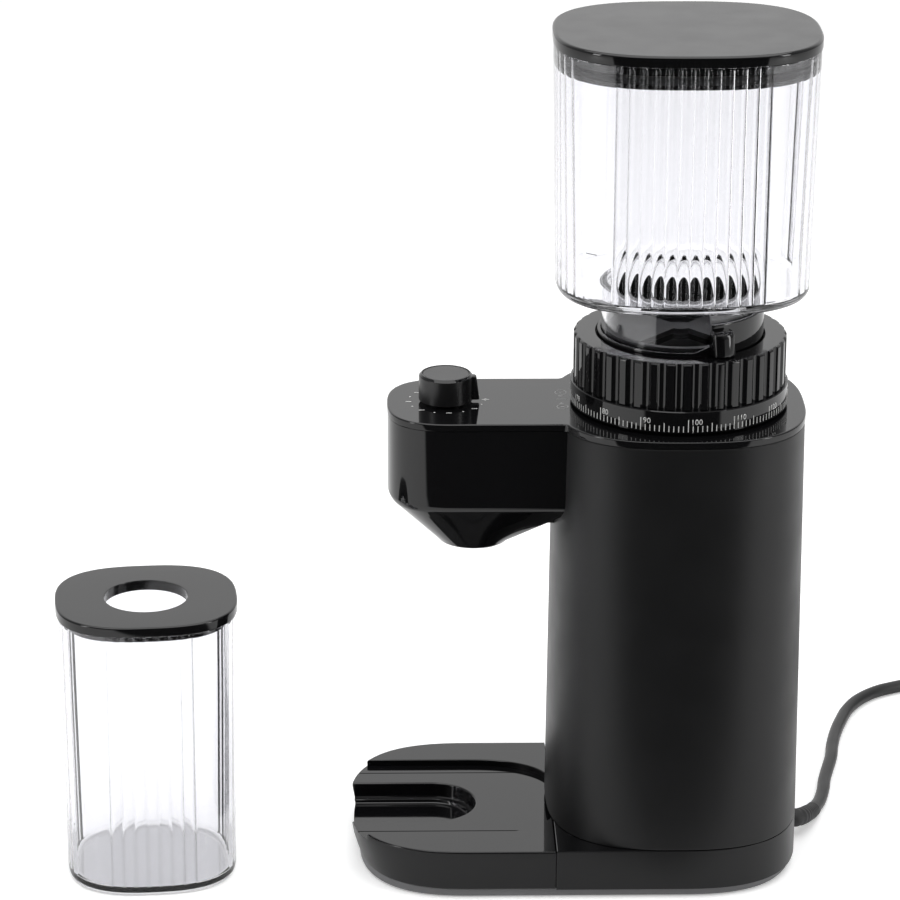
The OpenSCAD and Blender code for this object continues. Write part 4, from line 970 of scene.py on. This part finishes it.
hopper = piece("hopper_vessel", skin(vessel(levels, H_PHI), True), CLEAR, "hopper",
               ["hopper_shell"], "clear_plastic", 40)

skin_of_hopper = BVHTree.FromPolygons([v.co for v in hopper.data.vertices],
                                      [tuple(p.vertices) for p in hopper.data.polygons])
near, far = [], []
for f in np.linspace(0, 1, 9):
    start = Vector((39.2 + 3.6 * f, -46.3 + 4.9 * f, 291.7)) * MM
    place, _, _, _ = skin_of_hopper.find_nearest(start)
    out = (start - place).normalized()
    near.append(np.array(place / MM + out * 0.03)[:2])
    far.append(np.array(place / MM + out * 0.08)[:2])
piece("fill_line", skin([ring(np.array(far + near[::-1]), z) for z in (291.45, 291.85)]),
      plain("fill_line", (0.12, 0.12, 0.125), 0.5), "hopper")


def wedge(direction, half, r_in, r_out, z0, z1, steps=24):
    a = np.radians(np.linspace(direction - half, direction + half, steps))
    line = np.vstack([around(r_out, a), around(r_in, a)[::-1]])
    return skin([ring(line, z0), ring(line, z1)])


cut(hopper, [wedge(69, 53, 31.0, 36.0, 245.4, 248.0, 40)], 40)
gate = piece("hopper_gate", lathe([(32.36, 242.95), (32.36, 245.35)], 128), CLEAR, "hopper",
             slot="clear_plastic")
cut(gate, [wedge(a, 40, 5, 29.1, 240, 250, 48) for a in (0, 180)])

lid = piece("hopper_cover", block((49.4, 57.2), [
    (6.5, 375.0), (6.5, 365.0), (6.2, 364.7), (4.8, 364.7), (4.5, 365.0), (4.5, 366.7),
    (5.5, 366.7), (5.5, 370.7), (4.5, 370.7), (4.5, 375.02), (0.5, 375.02), (0.12, 375.15),
    (0.0, 375.5), (0.0, 378.7), (0.1, 379.2), (0.4, 379.65), (0.9, 379.92), (1.5, 380.0)],
    320), GLOSS, "lid", ["hopper_lid"], "gloss_black", 32)
lid.data.materials.append(LID_TOP)
for face in lid.data.polygons:
    face.material_index = 1 if face.center.z > 0.37985 and face.normal.z > 0.9 else 0
piece("lid_gasket", block((45.6, 53.4), [
    (1.62, 366.8), (0.6, 366.8), (0.1, 367.6), (0.5, 368.7), (0.1, 369.8), (0.6, 370.6),
    (1.62, 370.6)], 240, closed=True), RUBBER, "lid", ["lid_seal"], "seal_rubber")

# ------------------------------------------------------- collar and shutter


WALL_START, WALL_SPAN = 18, 217   # degrees: the collar's tall wall, round the back


def collar_height(deg):
    a = (deg - WALL_START) % 360
    if a <= WALL_SPAN:
        return 17.5
    if a <= WALL_SPAN + 2:
        return 17.5 - 12 * (a - WALL_SPAN) / 2
    if a >= 346:
        f = (a - 346) / 14
        return 5.5 + 2.5 * f * f * (3 - 2 * f)
    return 5.5


sections = []
for deg in np.arange(0, 360, 1.0):
    h, a = collar_height(deg), math.radians(deg)
    cs = [(34.7, 0.2), (34.9, 0), (36.0, 0), (36.2, 0.2), (36.2, h - 0.5), (36.0, h - 0.12),
          (35.7, h), (35.0, h), (34.75, h - 0.15), (34.7, h - 0.5)]
    sections.append(np.array([(r * math.cos(a), r * math.sin(a), 241.02 + z) for r, z in cs]))
collar = piece("collar", skin(sections, True), GLOSS, "collar", ["locking_collar"],
               "gloss_black", 40)
LEVER = Matrix.Rotation(math.radians(24), 4, "Z")


def lever_line(inset, reach):
    """The lever seen from above: a block whose outer corners are well rounded."""
    t = np.linspace(-math.pi / 2, math.pi / 2, 25)
    cap = np.column_stack([reach - 3.2 + (3.2 - inset) * np.abs(np.cos(t)) ** 0.8,
                           (5 - inset) * np.sign(np.sin(t)) * np.abs(np.sin(t)) ** 0.8])
    return np.vstack([cap, [(35.4, 5 - inset), (35.4, inset - 5)]])


lever_verts, lever_faces = skin([ring(lever_line(i, r), z) for i, r, z in (
    (0.5, 42.6, 245.35), (0.1, 42.6, 245.7), (0.0, 42.55, 246.5), (0.0, 41.6, 253.5),
    (0.1, 41.3, 254.9), (0.5, 40.9, 255.8), (1.2, 40.4, 256.3))])
lever_verts = np.array([LEVER @ Vector(v) for v in lever_verts])
cut(collar, [(lever_verts, lever_faces)], 40, "UNION")
shutter = piece("shutter", lathe([(32.05, 245.75), (32.05, 247.65)], 128), INNER, "collar",
                ["shutter_disc"], "inner_black")
cut(shutter, [wedge(a, 40, 5, 29.1, 240, 250, 48) for a in (0, 180)])
cut(shutter, [wedge(24, 4, 31.0, 34.68, 245.75, 247.65, 8)], 30, "UNION")

# --------------------------------------------------------------- container

STAND = Matrix.Translation((18.6 * MM, -234 * MM, 0)) @ Matrix.Rotation(math.radians(5), 4, "Z")
probe = fluted(33.9, 36.3, 7, 0.8)
C_PHI = np.unwrap(np.arctan2(probe[:, 1], probe[:, 0]))
foot, rim = (35.6, 37.6), (36.4, 39.0)
levels = round_foot(foot, 2.5, 0.02, 6)
for z in (30, 60, 95, 123.9):
    levels.append(("s", *half_at(foot, rim, 2.5, 124.4, z), z))
levels += [("s", 36.25, 38.85, 124.25), ("s", 35.9, 38.5, 124.38), ("s", 34.7, 37.3, 124.38),
           ("s", 34.35, 36.95, 124.1)]
for z in (123, 90, 50, 6, 4.4):
    hx, hy = half_at((33.4, 35.4), (34.2, 36.8), 3.2, 124.4, z)
    levels.append(("f", fluted(hx, hy, 7, 0.8), z))
for d, z in ((0.5, 3.7), (1.4, 3.3), (2.6, 3.2)):
    levels.append(("s", 33.4 - d, 35.4 - d, z))
piece("container", skin(vessel(levels, C_PHI)), CLEAR, "container", ["grounds_container"],
      "clear_plastic", 40, moved=STAND)
L_PHI = np.linspace(0, 2 * np.pi, 300, endpoint=False)
levels = [("c", 18.75, 129.0), ("c", 18.5, 128.92), ("c", 18.4, 128.7), ("c", 18.4, 124.45),
          ("s", 31.3, 34.1, 124.45), ("s", 31.3, 34.1, 121.2), ("s", 31.5, 34.3, 121.0),
          ("s", 32.7, 35.5, 121.0), ("s", 32.9, 35.7, 121.3), ("s", 32.9, 35.7, 124.45),
          ("s", 36.6, 39.6, 124.45), ("s", 36.9, 39.9, 124.6), ("s", 37.0, 40.0, 125.0),
          ("s", 37.0, 40.0, 128.2), ("s", 36.85, 39.85, 128.6), ("s", 36.5, 39.5, 128.9),
          ("s", 36.0, 39.0, 129.0)]
piece("container_cover", skin(vessel(levels, L_PHI), True), GLOSS, "container_cover",
      ["container_lid"], "gloss_black", 32, moved=STAND)

# ---------------------------------------------------------- floor and light

# The floor is painted from pale to dark toward the main camera, in a wedge outside its picture:
# painted shade that the gloss surfaces show as a dark reflection.
FLOOR_PALE, FLOOR_DARK = 0.062, 0.13
FLOOR_WEDGE = 1.0
# How far the pale floor is lifted for each kind of ray.
FLOOR_LIFT, GLOSS_LIFT, GLASS_LIFT = 0.34, 0.1, 0.3

ground_mat, gt, ground_shader = nodes_of("studio_floor")
ground_shader.inputs["Roughness"].default_value = 0.7
ground_shader.inputs["Specular IOR Level"].default_value = 0.1


def maths(operation, *values):
    """One step of arithmetic in the floor's tree."""
    return add_node(gt, "Math", dict(enumerate(values)), operation=operation).outputs["Value"]


tone = add_node(gt, "Mix", {"Factor": noise(gt, 3.0, 1.0), "A": (0.9, 0.9, 0.9, 1),
                            "B": (0.92, 0.92, 0.92, 1)}, data_type="RGBA")
where = add_node(gt, "TexCoord").outputs["Object"]
apart = add_node(gt, "SeparateXYZ", {"Vector": where}).outputs
ahead = maths("MULTIPLY_ADD", maths("ABSOLUTE", apart["Y"]), -FLOOR_WEDGE, apart["X"])
fall = add_node(gt, "MapRange", {"Value": ahead, "From Min": FLOOR_PALE, "From Max": FLOOR_DARK},
                interpolation_type="SMOOTHSTEP").outputs["Result"]
# Painted shade: the floor's colour goes to near black in the wedge toward the main camera.
shaded = add_node(gt, "Mix", {"Factor": fall, "A": tone.outputs["Result"],
                              "B": (0.025, 0.025, 0.025, 1)}, data_type="RGBA")
gt.links.new(shaded.outputs["Result"], ground_shader.inputs["Base Color"])
ray = add_node(gt, "LightPath").outputs
seen = maths("MULTIPLY", ray["Is Camera Ray"], FLOOR_LIFT)
for kind, amount in (("Is Glossy Ray", GLOSS_LIFT), ("Is Transmission Ray", GLASS_LIFT)):
    seen = maths("MAXIMUM", seen, maths("MULTIPLY", ray[kind], amount))
# The floor's glow is taken away in the painted dark wedge as well.
pale = add_node(gt, "MapRange", {"Value": fall, "To Min": 1.0, "To Max": 0.0}).outputs["Result"]
gt.links.new(maths("MULTIPLY", seen, pale), ground_shader.inputs["Emission Strength"])
ground_shader.inputs["Emission Color"].default_value = (1, 1, 1, 1)
plane = bpy.data.meshes.new("studio_floor")
half = 9.0
plane.from_pydata([(-half, -half, 0), (half, -half, 0), (half, half, 0), (-half, half, 0)], [],
                  [(0, 1, 2, 3)])
plane.materials.append(ground_mat)
ground = bpy.data.objects.new("studio_floor", plane)
bpy.context.scene.collection.objects.link(ground)

world = bpy.data.worlds.new("studio")
bpy.context.scene.world = world
world.use_nodes = True
wt = world.node_tree
back = wt.nodes["Background"]
back.inputs["Strength"].default_value = 1.0
path = add_node(wt, "LightPath").outputs
coord = add_node(wt, "TexCoord").outputs["Generated"]
split = add_node(wt, "SeparateXYZ", {"Vector": coord}).outputs
facing = add_node(wt, "Math", {0: split["X"], 1: 0.5, 2: 0.5}, operation="MULTIPLY_ADD")
side = add_node(wt, "ValToRGB", {"Fac": facing.outputs["Value"]})
side.color_ramp.interpolation = "EASE"
stops = side.color_ramp.elements
stops[0].position, stops[1].position = 0.08, 0.93
stops[0].color, stops[1].color = (1, 1, 1, 1), (0.015, 0.015, 0.015, 1)
for place, grey in ((0.27, 0.42), (0.78, 0.34)):
    stops.new(place).color = (grey, grey, grey, 1)
mix = add_node(wt, "Mix", {"Factor": path["Is Camera Ray"], "A": side.outputs["Color"],
                           "B": (1, 1, 1, 1)}, data_type="RGBA")
wt.links.new(mix.outputs["Result"], back.inputs["Color"])


def lamp(name, place, aim, size, power):
    data = bpy.data.lights.new(name, "AREA")
    data.shape = "RECTANGLE"
    data.size, data.size_y = size
    data.energy = power
    obj = bpy.data.objects.new(name, data)
    obj.location = place
    obj.rotation_euler = (Vector(aim) - Vector(place)).to_track_quat("-Z", "Y").to_euler()
    bpy.context.scene.collection.objects.link(obj)


lamp("overhead", (0.2, 0.0, 1.9), (0, -0.05, 0.1), (2.4, 2.4), 38)
lamp("right_side", (0.75, 1.45, 0.62), (0, 0, 0.2), (0.3, 1.1), 6)
lamp("left_side", (0.75, -1.5, 0.62), (0, 0, 0.2), (0.3, 1.1), 6)

# Flat faces stay flat-shaded beside their rounded edges.
for obj in bpy.context.scene.objects:
    if obj.name in MADE:
        obj.modifiers.new("flat_faces", "WEIGHTED_NORMAL").keep_sharp = True
